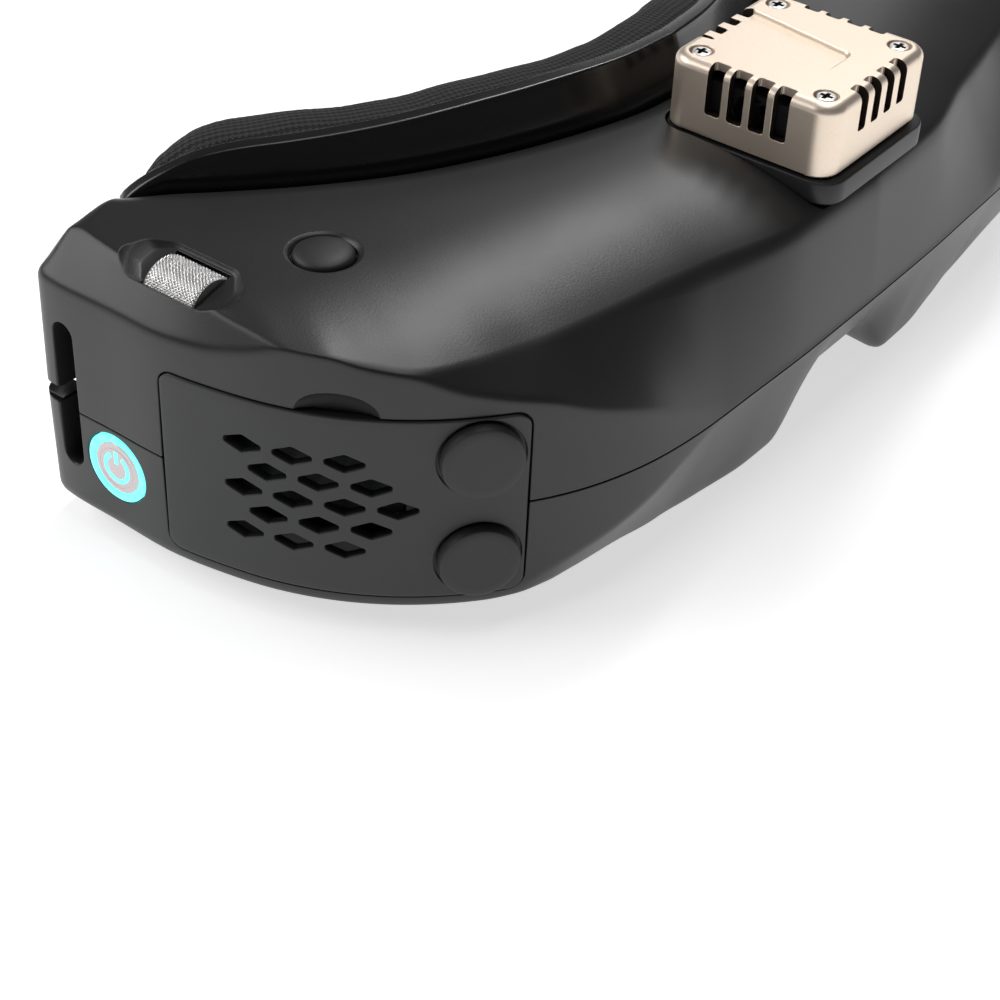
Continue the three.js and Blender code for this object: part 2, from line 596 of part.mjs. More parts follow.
function fanFrame() {
  const [low, high] = [FAN.foot + 0.6, FAN.foot + 8.4];
  const frame = solid(prism(roundedOutline(FAN.frame, FAN.frame, 2), low, high));
  const hub = rod("z", [0, 0, 0], low - 2, low + 1.2, 5);
  const bore = cut(rod("z", [0, 0, 0], low - 1, high + 1, 11.4, 24), hub);
  const struts = join(box(-12, 12, -0.9, 0.9, low, low + 1.2), box(-0.9, 0.9, -12, 12, low, low + 1.2));
  const ports = [
    rod("x", [0, 0, (low + high) / 2 + 0.6], -20, 20, 3.1, 8),
    rod("y", [0, 0, (low + high) / 2 + 0.6], -20, 20, 3.1, 8),
  ];
  const holes = screwPlaces().map(([x, y]) => rod("z", [x, y, 0], low - 1, high + 1, 1.1, 8));
  const pin = rod("z", [0, 0, 0], low + 0.4, low + 4.4, 0.9, 8);
  return cut(join(cut(frame, bore, ...ports), struts, pin), ...holes);
}
function fanRotor() {
  const [low, high] = [FAN.foot + 2.2, FAN.foot + 8];
  const blades = Array.from({ length: 7 }, (_, i) => {
    const geometry = new THREE.BoxGeometry(7.4, 0.7, 4.6);
    geometry.rotateX(THREE.MathUtils.degToRad(38)).translate(7.1, 0, (low + high) / 2);
    return solid(geometry.rotateZ((i * 2 * Math.PI) / 7));
  });
  const hub = cut(rod("z", [0, 0, 0], low, high, 4.4), rod("z", [0, 0, 0], low - 1, high - 1, 1.15, 8));
  return join(hub, ...blades.map((blade) => cut(blade, rod("z", [0, 0, 0], 40, 60, 4.1))));
}
// The step under the fan cover: a flange with a narrower neck below it. Grow widens both.
function fanSeat(grow, top) {
  const layer = (inset, low, high) => {
    const [x, y] = [PLINTH.halfX - inset + grow, PLINTH.halfY - inset + grow];
    return solid(prism(roundedOutline(x, y, PLINTH.corner), low - grow, high));
  };
  const stack = join(layer(0, PLINTH.ledge, top), layer(PLINTH.neck, PLINTH.bottom, top - 1));
  return stack.translate([0, PLINTH.shift, 0]);
}
function fanPlinth() {
  return cut(fanSeat(0, PLINTH.top), rod("z", [0, 0, 0], 30, 50, 11, 20));
}

// ---------- optics ----------
function eyepieceBarrel() {
  const { x, z, radius, front, back } = EYE;
  const tube = rod("y", [x, 0, z], front, back, radius, 24);
  const [low, high] = [RAILS.low, RAILS.high];
  const slider = (height) => {
    const [w, h] = [RAILS.width / 2, RAILS.half];
    return box(x - w, x + w, RAILS.y - 2, RAILS.y + 2, height - h, height + h);
  };
  const bore = (height) => {
    return rod("x", [0, RAILS.y, height], x - 12, x + 12, RAILS.rod + RAILS.clearance, 8);
  };
  const body = join(tube, slider(low), slider(high));
  return cut(body, rod("y", [x, 0, z], front + 1.2, back + 1, radius - 1.4, 24),
    box(x - 10.5, x + 10.5, front - 1, front + 3, z - 8, z + 8), bore(low), bore(high));
}
function lensCell() {
  const { x, z, radius, back } = EYE;
  const outer = rod("y", [x, 0, z], back - 8.4, back - 1.2, radius - 1.8, 24);
  return cut(outer, rod("y", [x, 0, z], back - 9, back + 1, radius - 3, 24));
}
function lens() {
  const { x, z, radius, back } = EYE;
  const [r, bulge] = [radius - 3.3, 2.6];
  const profile = [[0, -bulge], [r * 0.6, -bulge * 0.66], [r, 0.2], [r, 1.6], [r * 0.6, 2.7], [0, 3.2]];
  const geometry = new THREE.LatheGeometry(profile.map(([a, b]) => v2(a, b)), 24);
  return solid(geometry.translate(x, back - 5.4, z));
}
function focusRing() {
  const { x, z, radius, back } = EYE;
  const outer = rod("y", [x, 0, z], back + 0.4, back + 4.4, radius, 30);
  return cut(outer, rod("y", [x, 0, z], back - 1, back + 6, radius - 3.4, 24));
}
function display() {
  const { x, z, front } = EYE;
  return box(x - 10, x + 10, front - 1.6, front + 0.9, z - 7.5, z + 7.5);
}
function ipdKnob() {
  const stem = box(EYE.x - 1.6, EYE.x + 1.6, 1.6, 4.4, 0.6, RAILS.low - RAILS.half - GAP);
  return join(stem, box(EYE.x - 3.6, EYE.x + 3.6, 0.6, 5.4, 0.4, 1.7));
}
const guideRod = (from, to, height) => rod("x", [0, RAILS.y, height], from, to, RAILS.rod, 8);
const CASE_SCREWS = [[-52, 20], [52, 20], [-46, -6], [46, -6]];
function caseScrew(x, y) {
  const head = rod("z", [x, y, 0], 0.3, 1.6, 1.6, 12);
  const arm = (dx, dy) => box(x - dx, x + dx, y - dy, y + dy, 0, 0.8);
  const cross = join(arm(1, 0.2), arm(0.2, 1));
  return join(cut(head, cross), rod("z", [x, y, 0], 1.2, 12, 0.9, 8));
}

// ---------- assembly ----------
const finish = (color, roughness, metalness = 0) => {
  return new THREE.MeshStandardMaterial({ color, roughness, metalness });
};
const FINISH = {
  shell: finish(0x3a3a3b, 0.5),
  cover: finish(0x363637, 0.55),
  faceplate: finish(0x0c0c0d, 0.3),
  foam: finish(0x1a1a1b, 0.95),
  champagne: finish(0xc9b8a6, 0.35, 0.8),
  steel: finish(0xb9b4b0, 0.3, 0.9),
  black: finish(0x101011, 0.5),
  rubber: finish(0x2e2e2f, 0.7),
  light: finish(0x6ff4f0, 0.4),
  cap: finish(0xcfc4c4, 0.4),
  glass: finish(0x9fb4c8, 0.05),
  board: finish(0x14402a, 0.6),
  brass: finish(0xb89a4a, 0.35, 0.9),
};
const goggles = new THREE.Group();
goggles.position.y = -DEPTH_CENTRE;

function add(name, part, material, mirrored = false) {
  const mesh = new THREE.Mesh(part.isBufferGeometry ? part : geometryOf(part), FINISH[material]);
  mesh.name = name;
  if (mirrored) mesh.scale.x = -1;
  goggles.add(mesh);
}

const { upper, lower } = shells();
add("upper_shell", upper, "shell");
add("lower_shell", lower, "shell");
add("face_plate", facePlate(), "faceplate");
add("face_foam", faceFoam(), "foam");

add("fan_plinth", fanPlinth(), "shell");
add("fan_housing", fanHousing(), "champagne");
add("fan_frame", fanFrame(), "black");
add("fan_rotor", fanRotor(), "black");
screwPlaces().forEach(([x, y], i) => add(`fan_screw_${i + 1}`, fanScrew(x, y), "steel"));

for (const side of ["right", "left"]) {
  const mirrored = side === "right";
  add(`${side}_side_cover`, coverBody(), "cover", mirrored);
  plugHeights().forEach((z, i) => {
    const level = ["lower", "upper"][i];
    add(`${side}_${level}_antenna_plug`, plugBody(z), "rubber", mirrored);
    add(`${side}_${level}_antenna_socket`, antennaSocket(z), "brass", mirrored);
  });
  add(`${side}_receiver_board`, receiverBoard(), "board", mirrored);
  add(`${side}_scroll_wheel`, wheelBody(), "steel", mirrored);
  add(`${side}_wheel_carrier`, wheelCarrier(), "black", mirrored);
  add(`${side}_top_button`, keyBody(), "rubber", mirrored);
  add(`${side}_eyepiece_barrel`, eyepieceBarrel(), "black", mirrored);
  add(`${side}_lens_cell`, lensCell(), "black", mirrored);
  add(`${side}_lens`, lens(), "glass", mirrored);
  add(`${side}_focus_ring`, focusRing(), "rubber", mirrored);
  add(`${side}_display`, display(), "glass", mirrored);
  add(`${side}_ipd_knob`, ipdKnob(), "rubber", mirrored);
  add(`${side}_lower_guide_rod`, guideRod(EYE.x - 7, EYE.x + 12, RAILS.low), "steel", mirrored);
}
add("upper_guide_rod", guideRod(-EYE.x - 12, EYE.x + 12, RAILS.high), "steel");
add("main_board", box(-38, 38, -8.8, -7.2, 16, 30), "board");

const powerRing = cut(
  rod("x", [0, POWER.y, POWER.z], 95.2, 97.1, POWER.ring, 24),
  rod("x", [0, POWER.y, POWER.z], 94, 99, POWER.cap + 0.2, 24),
);
add("power_light_ring", powerRing, "light", true);
add("power_button", rod("x", [0, POWER.y, POWER.z], 94, 97, POWER.cap, 24), "cap", true);
for (const [name, port] of Object.entries(PORTS)) {
  const mouth = portBody(port, -0.9, 93.5, 99);
  add(name, cut(portBody(port, 0, 91, 97), mouth), "black");
}
CASE_SCREWS.forEach(([x, y], i) => add(`case_screw_${i + 1}`, caseScrew(x, y), "steel"));

export default goggles;
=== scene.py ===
"""FPV goggles: detailed forms, finishes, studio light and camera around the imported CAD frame."""
import math

import bmesh
import bpy
import numpy as np
from mathutils import Matrix, Vector


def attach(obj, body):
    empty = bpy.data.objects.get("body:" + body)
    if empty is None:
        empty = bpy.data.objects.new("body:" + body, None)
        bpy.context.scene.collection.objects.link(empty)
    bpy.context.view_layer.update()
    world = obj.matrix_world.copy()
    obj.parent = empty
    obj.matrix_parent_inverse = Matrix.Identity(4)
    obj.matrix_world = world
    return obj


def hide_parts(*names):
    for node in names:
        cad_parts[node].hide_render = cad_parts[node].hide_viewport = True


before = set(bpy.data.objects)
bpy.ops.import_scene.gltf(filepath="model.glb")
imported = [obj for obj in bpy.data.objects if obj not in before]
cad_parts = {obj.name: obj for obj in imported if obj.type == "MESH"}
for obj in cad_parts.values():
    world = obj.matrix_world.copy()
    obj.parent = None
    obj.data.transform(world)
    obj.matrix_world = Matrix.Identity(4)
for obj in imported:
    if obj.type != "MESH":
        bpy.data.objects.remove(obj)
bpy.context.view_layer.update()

MM = 0.001
DEPTH_CENTRE = 21.82  # the plan below is drawn with the front at y = -17.8
PARTING_Z = 20.5
SEAM = 0.15
WALL = 2.2
GAP = 0.3
DECK_Z = 45.0
ROLL_REACH, ROLL_DROP = 5.5, 4.0
CAVITY_END = 137.0

# ---------- tables shared with the CAD, in millimetres ----------
FRONT_LINE = [
    (0, -17.8), (20, -17.6), (31, -17.2), (46, -16.5), (56, -15), (64, -12.5), (70, -9.6),
    (75.5, -5.9), (81, -1.2), (86, 4.4), (90.3, 11), (93.6, 18.5), (95.8, 27), (97, 35),
    (97, 45), (97, 54.5), (96.5, 57.3), (95, 58.8), (92, 59.3),
]
REAR_LINE = [
    (0, 19), (12, 20.2), (26, 24.2), (38, 29), (50, 35.3), (61, 43.3), (69, 50.3), (74, 55),
    (79, 59),
]
FAN_OUT = [
    (0, 0), (20, 12), (40, 27), (56, 40), (70, 53.5), (85, 67), (100, 77.5), (113, 84),
    (126, 88), (137, 90),
]
WALL_TOP = [
    (0, 21), (38, 21.5), (56, 29), (66, 33), (72, 35.7), (78, 37.2), (84, 38.8), (90, 41.2),
    (96, 42.2), (101, 43.4), (106, 43.6), (112, 41.8), (118, 40.4), (127, 40), (143, 40),
    (148, 40), (150, 39.4), (153, 38.4),
]
WALL_BOTTOM = [
    (0, 20), (40, 19.5), (47.5, 17), (54, 14), (60, 11.6), (65.5, 9.8), (70.5, 8), (75, 6),
    (80, 4.8), (153, 4.8),
]
DECK_INSET = [
    (0, 2), (20, 2.8), (40, 7), (56, 9), (70, 7.5), (80, 4.3), (90, 1.2), (101, 1), (106, 1),
    (112, 3.2), (118, 5.5), (127, 7.2), (142, 7.2), (148, 6), (153, 5.2),
]
DECK_EDGE = [
    (0, 40.5), (40, 40.3), (70, 40.4), (80, 41), (90, 41.8), (96, 42.7), (101, 43.7),
    (106, 43.9), (112, 44.3), (118, 44.8), (142, 44.9), (146, 44.5), (148, 43.4), (150, 41.6),
    (153, 39.6),
]
DECK_RISE = [(0, 24), (84, 24), (100, 15), (112, 10), (153, 10)]
DECK_LEVEL = [
    (0, 45), (142, 45), (146, 44.6), (148, 43.6), (150, 41.9), (153, 40.4),
]
BELLY_INSET = [
    (0, 5), (25, 5), (38, 6.3), (46, 7.2), (56, 6.2), (66, 3.5), (71, 1.8), (76, 1), (153, 1),
]
BELLY_EDGE = [(0, 0), (46, 0), (56, 1.8), (66, 3), (76, 3.4), (153, 3.4)]
BELLY_REAR = [(0, 0), (70, 0), (95, 2.2), (113, 3.4), (153, 3.4)]
DECK_SOFTNESS = [
    (0, 3.0), (40, 2.4), (56, 1.1), (90, 0.8), (118, 1.0), (138, 2), (144, 4), (150, 6),
]
PLATE_TOP = [
    (0, 51.4), (20, 51.3), (35, 50.9), (51, 50.1), (66, 49.2), (73, 48.8), (79.5, 47.9),
    (84, 46.3), (88, 44.2), (91.5, 41.4),
]
PLATE_BOTTOM = [(0, 0), (66, 0), (78, 2), (86, 6.5), (91.5, 12)]
FOAM_THICKNESS = [(0, 11), (74, 11), (79.5, 9.8), (83.5, 7), (86.5, 3.4), (87.5, 1.5)]
FOAM_TOP = [(0, 49.7), (66, 48.4), (80, 47.3), (85.5, 45), (87.5, 43.8)]
NOSE_FRONT = (19, 7, 10)  # half width, half width of its flat top, height
NOSE_REAR = (27, 9, 14.5)
COVER = dict(start=74.8, end=125.6, low=5.9, high=34.8, corner=2.2, thick=1.35, gap=0.25,
             ledge=1.2)
VENT = dict(width=5.4, height=2.8, tip=0.3, pitch=7.0, row=3.54, arc=102.5, z=20.6)
VENT_ROWS = {2: (-3, -1, 1), 1: (-2, 0, 2), 0: (-3, -1, 1, 3), -1: (-2, 0, 2), -2: (-3, -1, 1)}
PLUG_ARC, PLUG_HEIGHTS, PLUG_RADIUS, PLUG_PROUD = 81.3, (12.1, 28.5), 5.6, 1.5
STRAP = dict(y0=51.3, y1=54.9, low=10.8, high=34.0, slit_low=20.0, slit_high=23.4)
WHEEL = dict(x=88.3, y=37.4, z=40.6, radius=4.5, width=9.0, recess=1.45, tilt=14.0)
KEY_X, KEY_Y, KEY_RADIUS, KEY_RECESS = 73.7, 26.8, 4.2, 5.2
POWER_Y, POWER_Z, POWER_RING, POWER_CAP = 44.4, 14.2, 5.3, 4.0
FAN = dict(half=14.0, screws=10.35, top=56.0, foot=44.9, wall=1.3, corner=3.6)
EYE = dict(x=32.0, z=20.5, radius=15.0, front=-5.0, back=13.0)
RAIL_Y, RAIL_HEIGHTS = 3.4, (6.1, 36.1)
CASE_SCREWS = [(-52, 20, 12.6), (52, 20, 12.6), (-46, -6, 7.3), (46, -6, 7.3)]  # x, y, post top
SOCKET_Y, JACK_Z, PORT_Z = 43.0, 12.0, 28.0
JACK_HALF, PORT_HALF = 4.25, (5.55, 2.75)  # half sizes of the sockets' holes, with their gap
SLOT_PITCH, SLOT_TOP, PANEL_FRONT, PANEL_HALF = 3.66, 2.0, -6.7, 3.4
NOSE_WINDOW = (22, 8, 12)
WINDOW = dict(half=74, low=8, high=40, corner=12)
PLATE_END, FOAM_END = 91.0, 87.5
FOAM_BLEND = (30, 8)  # where the foam starts to widen towards the nose, and over what length
BLADES = 7


# ---------- curves ----------
def follow(table, x):
    """Monotone cubic through a table, for one number or an array."""
    xs, ys = np.array(table, float).T
    slope = np.diff(ys) / np.diff(xs)
    tangent = np.zeros(len(xs))
    tangent[0], tangent[-1] = slope[0], slope[-1]
    product = slope[:-1] * slope[1:]
    total = np.where(product > 0, slope[:-1] + slope[1:], 1.0)
    tangent[1:-1] = np.where(product > 0, 2 * product / total, 0.0)
    x = np.clip(np.asarray(x, float), xs[0], xs[-1])
    i = np.clip(np.searchsorted(xs, x, side="right") - 1, 0, len(xs) - 2)
    width = xs[i + 1] - xs[i]
    t = (x - xs[i]) / width
    return (
        (2 * t**3 - 3 * t**2 + 1) * ys[i]
        + (t**3 - 2 * t**2 + t) * width * tangent[i]
        + (3 * t**2 - 2 * t**3) * ys[i + 1]
        + (t**3 - t**2) * width * tangent[i + 1]
    )


class PlanLine:
    """Half of a line in plan, walked by its length, with its mirror image at negative lengths."""

    def __init__(self, points, steps=64):
        p = np.array(points, float)
        p = np.vstack([2 * p[0] - p[1], p, 2 * p[-1] - p[-2]])
        dense = []
        for a, b, c, d in zip(p, p[1:], p[2:], p[3:]):
            da, db, dc = (np.linalg.norm(v) ** 0.5 for v in (b - a, c - b, d - c))
            t1 = ((b - a) / da - (c - a) / (da + db) + (c - b) / db) * db
            t2 = ((c - b) / db - (d - b) / (db + dc) + (d - c) / dc) * db
            t = np.linspace(0, 1, steps, endpoint=False)[:, None]
            cubic = (-3 * b + 3 * c - 2 * t1 - t2) * t**2 + (2 * b - 2 * c + t1 + t2) * t**3
            dense.append(b + t1 * t + cubic)
        self.dense = np.vstack([*dense, p[-2:-1]])
        steps_long = np.linalg.norm(np.diff(self.dense, axis=0), axis=1)
        self.walked = np.concatenate([[0], np.cumsum(steps_long)])
        self.length = self.walked[-1]

    def point(self, arc):
        a = np.minimum(np.abs(arc), self.length)
        x, y = (np.interp(a, self.walked, column) for column in self.dense.T)
        return np.stack([np.sign(np.where(arc == 0, 1, arc)) * x, y], -1)

    def tangent(self, arc, reach=0.4):
        a = np.clip(np.abs(arc), reach, self.length - reach)
        s = np.where(np.asarray(arc) < 0, -1.0, 1.0)
        step = self.point(s * (a + reach)) - self.point(s * (a - reach))
        step = step * s[..., None]
        return step / np.linalg.norm(step, axis=-1, keepdims=True)


front_line, rear_line = PlanLine(FRONT_LINE), PlanLine(REAR_LINE)
FAN_OUT.append((front_line.length, rear_line.length))


def smooth(t):
    t = np.clip(t, 0, 1)
    return t * t * (3 - 2 * t)


def nose_rise(a, shape):
    half, flat, height = shape
    return height * smooth((half - a) / (half - flat))


def near_nose(a):
    """How far the foam has widened at this distance from the middle, 0 to 1."""
    start, length = FOAM_BLEND
    return float(smooth((start - a) / length))


def wall_point(arc, out, z):
    """Points on the front wall: out is the distance in front of it."""
    arc, out, z = np.broadcast_arrays(*(np.asarray(v, float) for v in (arc, out, z)))
    p, t = front_line.point(arc), front_line.tangent(arc)
    return np.stack([p[..., 0] + t[..., 1] * out, p[..., 1] - t[..., 0] * out, z], -1)


def behind(q, out, z):
    """Points behind the rear line: out is the distance towards the face."""
    q, out, z = np.broadcast_arrays(*(np.asarray(v, float) for v in (q, out, z)))
    p, t = rear_line.point(q), rear_line.tangent(q)
    return np.stack([p[..., 0] - t[..., 1] * out, p[..., 1] + t[..., 0] * out, z], -1)


# ---------- forms: (points, faces) in millimetres ----------
def loft(rings, ends="cap"):
    """A skin over rings of equal length, closed by caps or, with ends="loop", onto itself."""
    rings = np.asarray(rings, float)
    count, size = rings.shape[:2]
    rows = count if ends == "loop" else count - 1
    faces = []
    for r in range(rows):
        a, b = r * size, ((r + 1) % count) * size
        for i in range(size):
            j = (i + 1) % size
            faces.append((a + i, a + j, b + j, b + i))
    if ends == "cap":
        faces.append(tuple(range(size)))
        faces.append(tuple(range((count - 1) * size, count * size)))
    return rings.reshape(-1, 3), faces


def lathe(profile, steps=64):
    """A turned body about z. Profile points are (radius, height); radius 0 closes it."""
    angles = np.linspace(0, 2 * np.pi, steps, endpoint=False)
    points, rows = [], []
    for radius, height in profile:
        start = len(points)
        if radius == 0:
            points.append((0, 0, height))
            rows.append([start] * steps)
            continue
        points += [(radius * math.cos(a), radius * math.sin(a), height) for a in angles]
        rows.append(list(range(start, start + steps)))
    if profile[0][0] and profile[-1][0]:
        rows.append(rows[0])
    faces = []
    for low, high in zip(rows, rows[1:]):
        for i in range(steps):
            j = (i + 1) % steps
            face = [low[i], low[j], high[j], high[i]]
            faces.append(tuple(dict.fromkeys(face)))
    return np.array(points, float), faces


def fillet(corner, before, after, reach, steps=5):
    """A quadratic curve that rounds one corner of a profile."""
    c, a, b = (np.array(v, float) for v in (corner, before, after))
    near_a = c + (a - c) * min(reach / np.linalg.norm(a - c), 0.48)
    near_b = c + (b - c) * min(reach / np.linalg.norm(b - c), 0.48)
    t = np.linspace(0, 1, steps + 1)[:, None]
    return (1 - t) ** 2 * near_a + 2 * t * (1 - t) * c + t**2 * near_b


def rounded(corners, reaches, steps=5, runs=1, closed=False):
    """A profile with its corners rounded and its straight runs divided."""
    n = len(corners)
    runs = [runs] * n if isinstance(runs, int) else runs
    points = []
    for i, corner in enumerate(corners):
        reach = reaches[i] if isinstance(reaches, (list, tuple)) else reaches
        inner = closed or 0 < i < n - 1
        if reach and inner:
            turn = fillet(corner, corners[i - 1], corners[(i + 1) % n], reach, steps)
        else:
            turn = np.array([corner], float)
        if points and runs[i] > 1:
            t = np.linspace(0, 1, runs[i] + 1)[1:-1, None]
            points += list(points[-1] * (1 - t) + turn[0] * t)
        points += list(turn)
    return np.array(points)


def block(x0, x1, y0, y1, z0, z1, reach=0.0):
    """A box whose four upright edges, and its top and bottom rims, may be rounded."""
    corners = [(x0, y0), (x1, y0), (x1, y1), (x0, y1)]
    if not reach:
        rings = [[(x, y, z) for x, y in corners] for z in (z0, z1)]
        return loft(rings)
    middle = np.array([(x0 + x1) / 2, (y0 + y1) / 2])
    rings = []
    for z, pull in ((z0, reach), (z0 + reach * 0.3, reach * 0.3), (z0 + reach, 0),
                    (z1 - reach, 0), (z1 - reach * 0.3, reach * 0.3), (z1, reach)):
        inset = [np.array(c) + np.sign(middle - c) * pull for c in corners]
        flat = rounded(inset, reach, 3, closed=True)
        rings.append([(x, y, z) for x, y in flat])
    return loft(rings)


def moved(form, matrix):
    points, faces = form
    full = np.hstack([points, np.ones((len(points), 1))]) @ np.array(matrix).T
    return full[:, :3], faces


def shifted(form, x=0.0, y=0.0, z=0.0):
    return form[0] + np.array([x, y, z]), form[1]


def turned(form, axis, degrees=90.0):
    return moved(form, Matrix.Rotation(math.radians(degrees), 4, axis))


def mirrored(form):
    return form[0] * np.array([-1.0, 1, 1]), [tuple(reversed(f)) for f in form[1]]


def merged(*forms):
    points, faces, start = [], [], 0
    for p, f in forms:
        points.append(p)
        faces += [tuple(i + start for i in face) for face in f]
        start += len(p)
    return np.vstack(points), faces


def on_wall(form, arc, z):
    """Stands a form that is built about +z on the front wall."""
    p, t = front_line.point(arc), front_line.tangent(arc)
    basis = np.array([[t[0], 0, t[1]], [t[1], 0, -t[0]], [0, 1, 0]])
    return form[0] @ basis.T + np.array([p[0], p[1], z]), form[1]


# ---------- objects ----------
def make(name, form):
    mesh = bpy.data.meshes.new(name)
    points = (form[0] - np.array([0, DEPTH_CENTRE, 0])) * MM
    mesh.from_pydata(points.tolist(), [], form[1])
    work = bmesh.new()
    work.from_mesh(mesh)
    bmesh.ops.recalc_face_normals(work, faces=work.faces)
    work.to_mesh(mesh)
    work.free()
    obj = bpy.data.objects.new(name, mesh)
    bpy.context.collection.objects.link(obj)
    return obj


def settle(obj):
    """Applies every modifier."""
    graph = bpy.context.evaluated_depsgraph_get()
    mesh = bpy.data.meshes.new_from_object(obj.evaluated_get(graph))
    obj.modifiers.clear()
    obj.data = mesh
    return obj


def boolean(obj, form, operation):
    tool = make("tool", form)
    step = obj.modifiers.new("step", "BOOLEAN")
    step.operation, step.solver, step.object = operation, "MANIFOLD", tool
    settle(obj)
    bpy.data.objects.remove(tool)
    return obj


def cut(obj, *forms):
    for form in forms:
        boolean(obj, form, "DIFFERENCE")
    return obj


def soften(obj, degrees=32.0):
    """Smooth shading, with edges sharper than an angle kept crisp."""
    work = bmesh.new()
    work.from_mesh(obj.data)
    bmesh.ops.remove_doubles(work, verts=work.verts, dist=1e-6)
    limit = math.radians(degrees)
    for face in work.faces:
        face.smooth = True
    for edge in work.edges:
        edge.smooth = edge.is_manifold and edge.calc_face_angle(0) < limit
    work.to_mesh(obj.data)
    work.free()
    return obj


def flatten(obj):
    """Turns each normal to its largest face, so that broad flats shade flat up to their rims."""
    step = obj.modifiers.new("flats", "WEIGHTED_NORMAL")
    step.weight, step.keep_sharp = 100, True
    return settle(obj)


def piece(obj, body, slot, material, *nodes, angle=32.0):
    """Gives a finished mesh its finish and its body, and hides the CAD nodes that it stands for."""
    soften(obj, angle)
    obj.data.materials.clear()
    obj.data.materials.append(material)
    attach(obj, body)
    if nodes:
        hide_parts(*nodes)
    return obj


# ---------- finishes ----------
def linear(hex_colour):
    channels = [int(hex_colour[i : i + 2], 16) / 255 for i in (0, 2, 4)]
    return tuple(c / 12.92 if c < 0.04045 else ((c + 0.055) / 1.055) ** 2.4 for c in channels)


class Finish:
    """A node material under construction: a Principled shader fed by procedural patterns."""

    def __init__(self, name, **sockets):
        self.material = bpy.data.materials.new(name)
        self.material.use_nodes = True
        self.tree = self.material.node_tree
        self.shader = self.tree.nodes["Principled BSDF"]
        for socket, value in sockets.items():
            self.shader.inputs[socket.replace("_", " ")].default_value = value
        self.coords = self.node("ShaderNodeTexCoord").outputs["Object"]
        self.normal = None

    def node(self, kind, inputs=None, **settings):
        node = self.tree.nodes.new(kind)
        for key, value in settings.items():
            setattr(node, key, value)
        for key, value in (inputs or {}).items():
            if isinstance(value, bpy.types.NodeSocket):
                self.tree.links.new(value, node.inputs[key])
            else:
                node.inputs[key].default_value = value
        return node

    def noise(self, size, detail=3.0, roughness=0.6):
        """Noise whose features are about size metres across."""
        inputs = {"Vector": self.coords, "Scale": 1 / size, "Detail": detail,
                  "Roughness": roughness}
        return self.node("ShaderNodeTexNoise", inputs).outputs["Fac"]

    def math(self, operation, a, b=0.0):
        return self.node("ShaderNodeMath", {0: a, 1: b}, operation=operation).outputs[0]

    def spread(self, value, low, high, start=0.3, end=0.7):
        inputs = {"Value": value, "From Min": start, "From Max": end, "To Min": low, "To Max": high}
        return self.node("ShaderNodeMapRange", inputs).outputs["Result"]

    def colours(self, value, low, high, start=0.3, end=0.7):
        ramp = self.node("ShaderNodeValToRGB", {"Fac": value})
        ramp.color_ramp.elements[0].position, ramp.color_ramp.elements[1].position = start, end
        ramp.color_ramp.elements[0].color = (*low, 1)
        ramp.color_ramp.elements[1].color = (*high, 1)
        self.feed("Base Color", ramp.outputs["Color"])

    def feed(self, socket, value):
        self.tree.links.new(value, self.shader.inputs[socket])

    def soft_edges(self, radius):
        bevel_node = self.node("ShaderNodeBevel", {"Radius": radius}, samples=6)
        self.normal = bevel_node.outputs["Normal"]
        self.feed("Normal", self.normal)

    def bump(self, height, distance, strength=1.0):
        inputs = {"Height": height, "Distance": distance, "Strength": strength}
        if self.normal:
            inputs["Normal"] = self.normal
        self.normal = self.node("ShaderNodeBump", inputs).outputs["Normal"]
        self.feed("Normal", self.normal)


def moulded(name, dark, light, rough, grain=0.00032, depth=0.000012, edges=0.0003):
    """Moulded plastic: a fine spark-eroded grain, with faint unevenness in colour and gloss."""
    f = Finish(name, Roughness=rough)
    broad = f.noise(0.03, 2)
    fine = f.noise(grain, 2, 0.5)
    f.colours(f.math("ADD", f.math("MULTIPLY", broad, 0.6), f.math("MULTIPLY", fine, 0.4)),
              linear(dark), linear(light))
    f.feed("Roughness", f.spread(f.noise(0.012, 3), rough - 0.012, rough + 0.015))
    if edges:
        f.soft_edges(edges)
    f.bump(fine, depth)
    return f


def plain_metal(name, dark, light, rough, metallic=1.0, grain=0.0002, depth=0.000006,
                edges=0.00018):
    """Metal with a fine grain in its colour, gloss and surface."""
    f = Finish(name, Metallic=metallic)
    fine = f.noise(grain, 3, 0.6)
    f.colours(fine, linear(dark), linear(light))
    f.feed("Roughness", f.spread(fine, rough - 0.06, rough + 0.08))
    if edges:
        f.soft_edges(edges)
    f.bump(fine, depth)
    return f


SHELL = moulded("shell_plastic", "1f1f20", "262627", 0.37)
COVER_FINISH = moulded("cover_plastic", "242525", "2a2b2b", 0.45, edges=0.0002)
BLACK = moulded("black_plastic", "141415", "1b1b1c", 0.42, edges=0.00015)
RUBBER = moulded("button_rubber", "222223", "29292a", 0.5, grain=0.0004, edges=0.0002)
PLATE = moulded("face_plate_gloss", "080809", "0c0c0d", 0.26, grain=0.003, depth=0.0000015)
PLATE.shader.inputs["Coat Weight"].default_value = 0.3
PLATE.shader.inputs["Coat Roughness"].default_value = 0.12
CHAMPAGNE = plain_metal("champagne_aluminium", "f0ddc8", "f9ead9", 0.38, 0.8)
STEEL = plain_metal("bright_steel", "cfccc9", "f0eeec", 0.3)
KNURL = plain_metal("knurled_steel", "efedeb", "fdfcfb", 0.32, 0.9, edges=0)
SHADE = plain_metal("slot_shade", "2a211b", "362b23", 0.5, 0.6)
BRASS = plain_metal("brass", "a98a3e", "c7aa5c", 0.33)


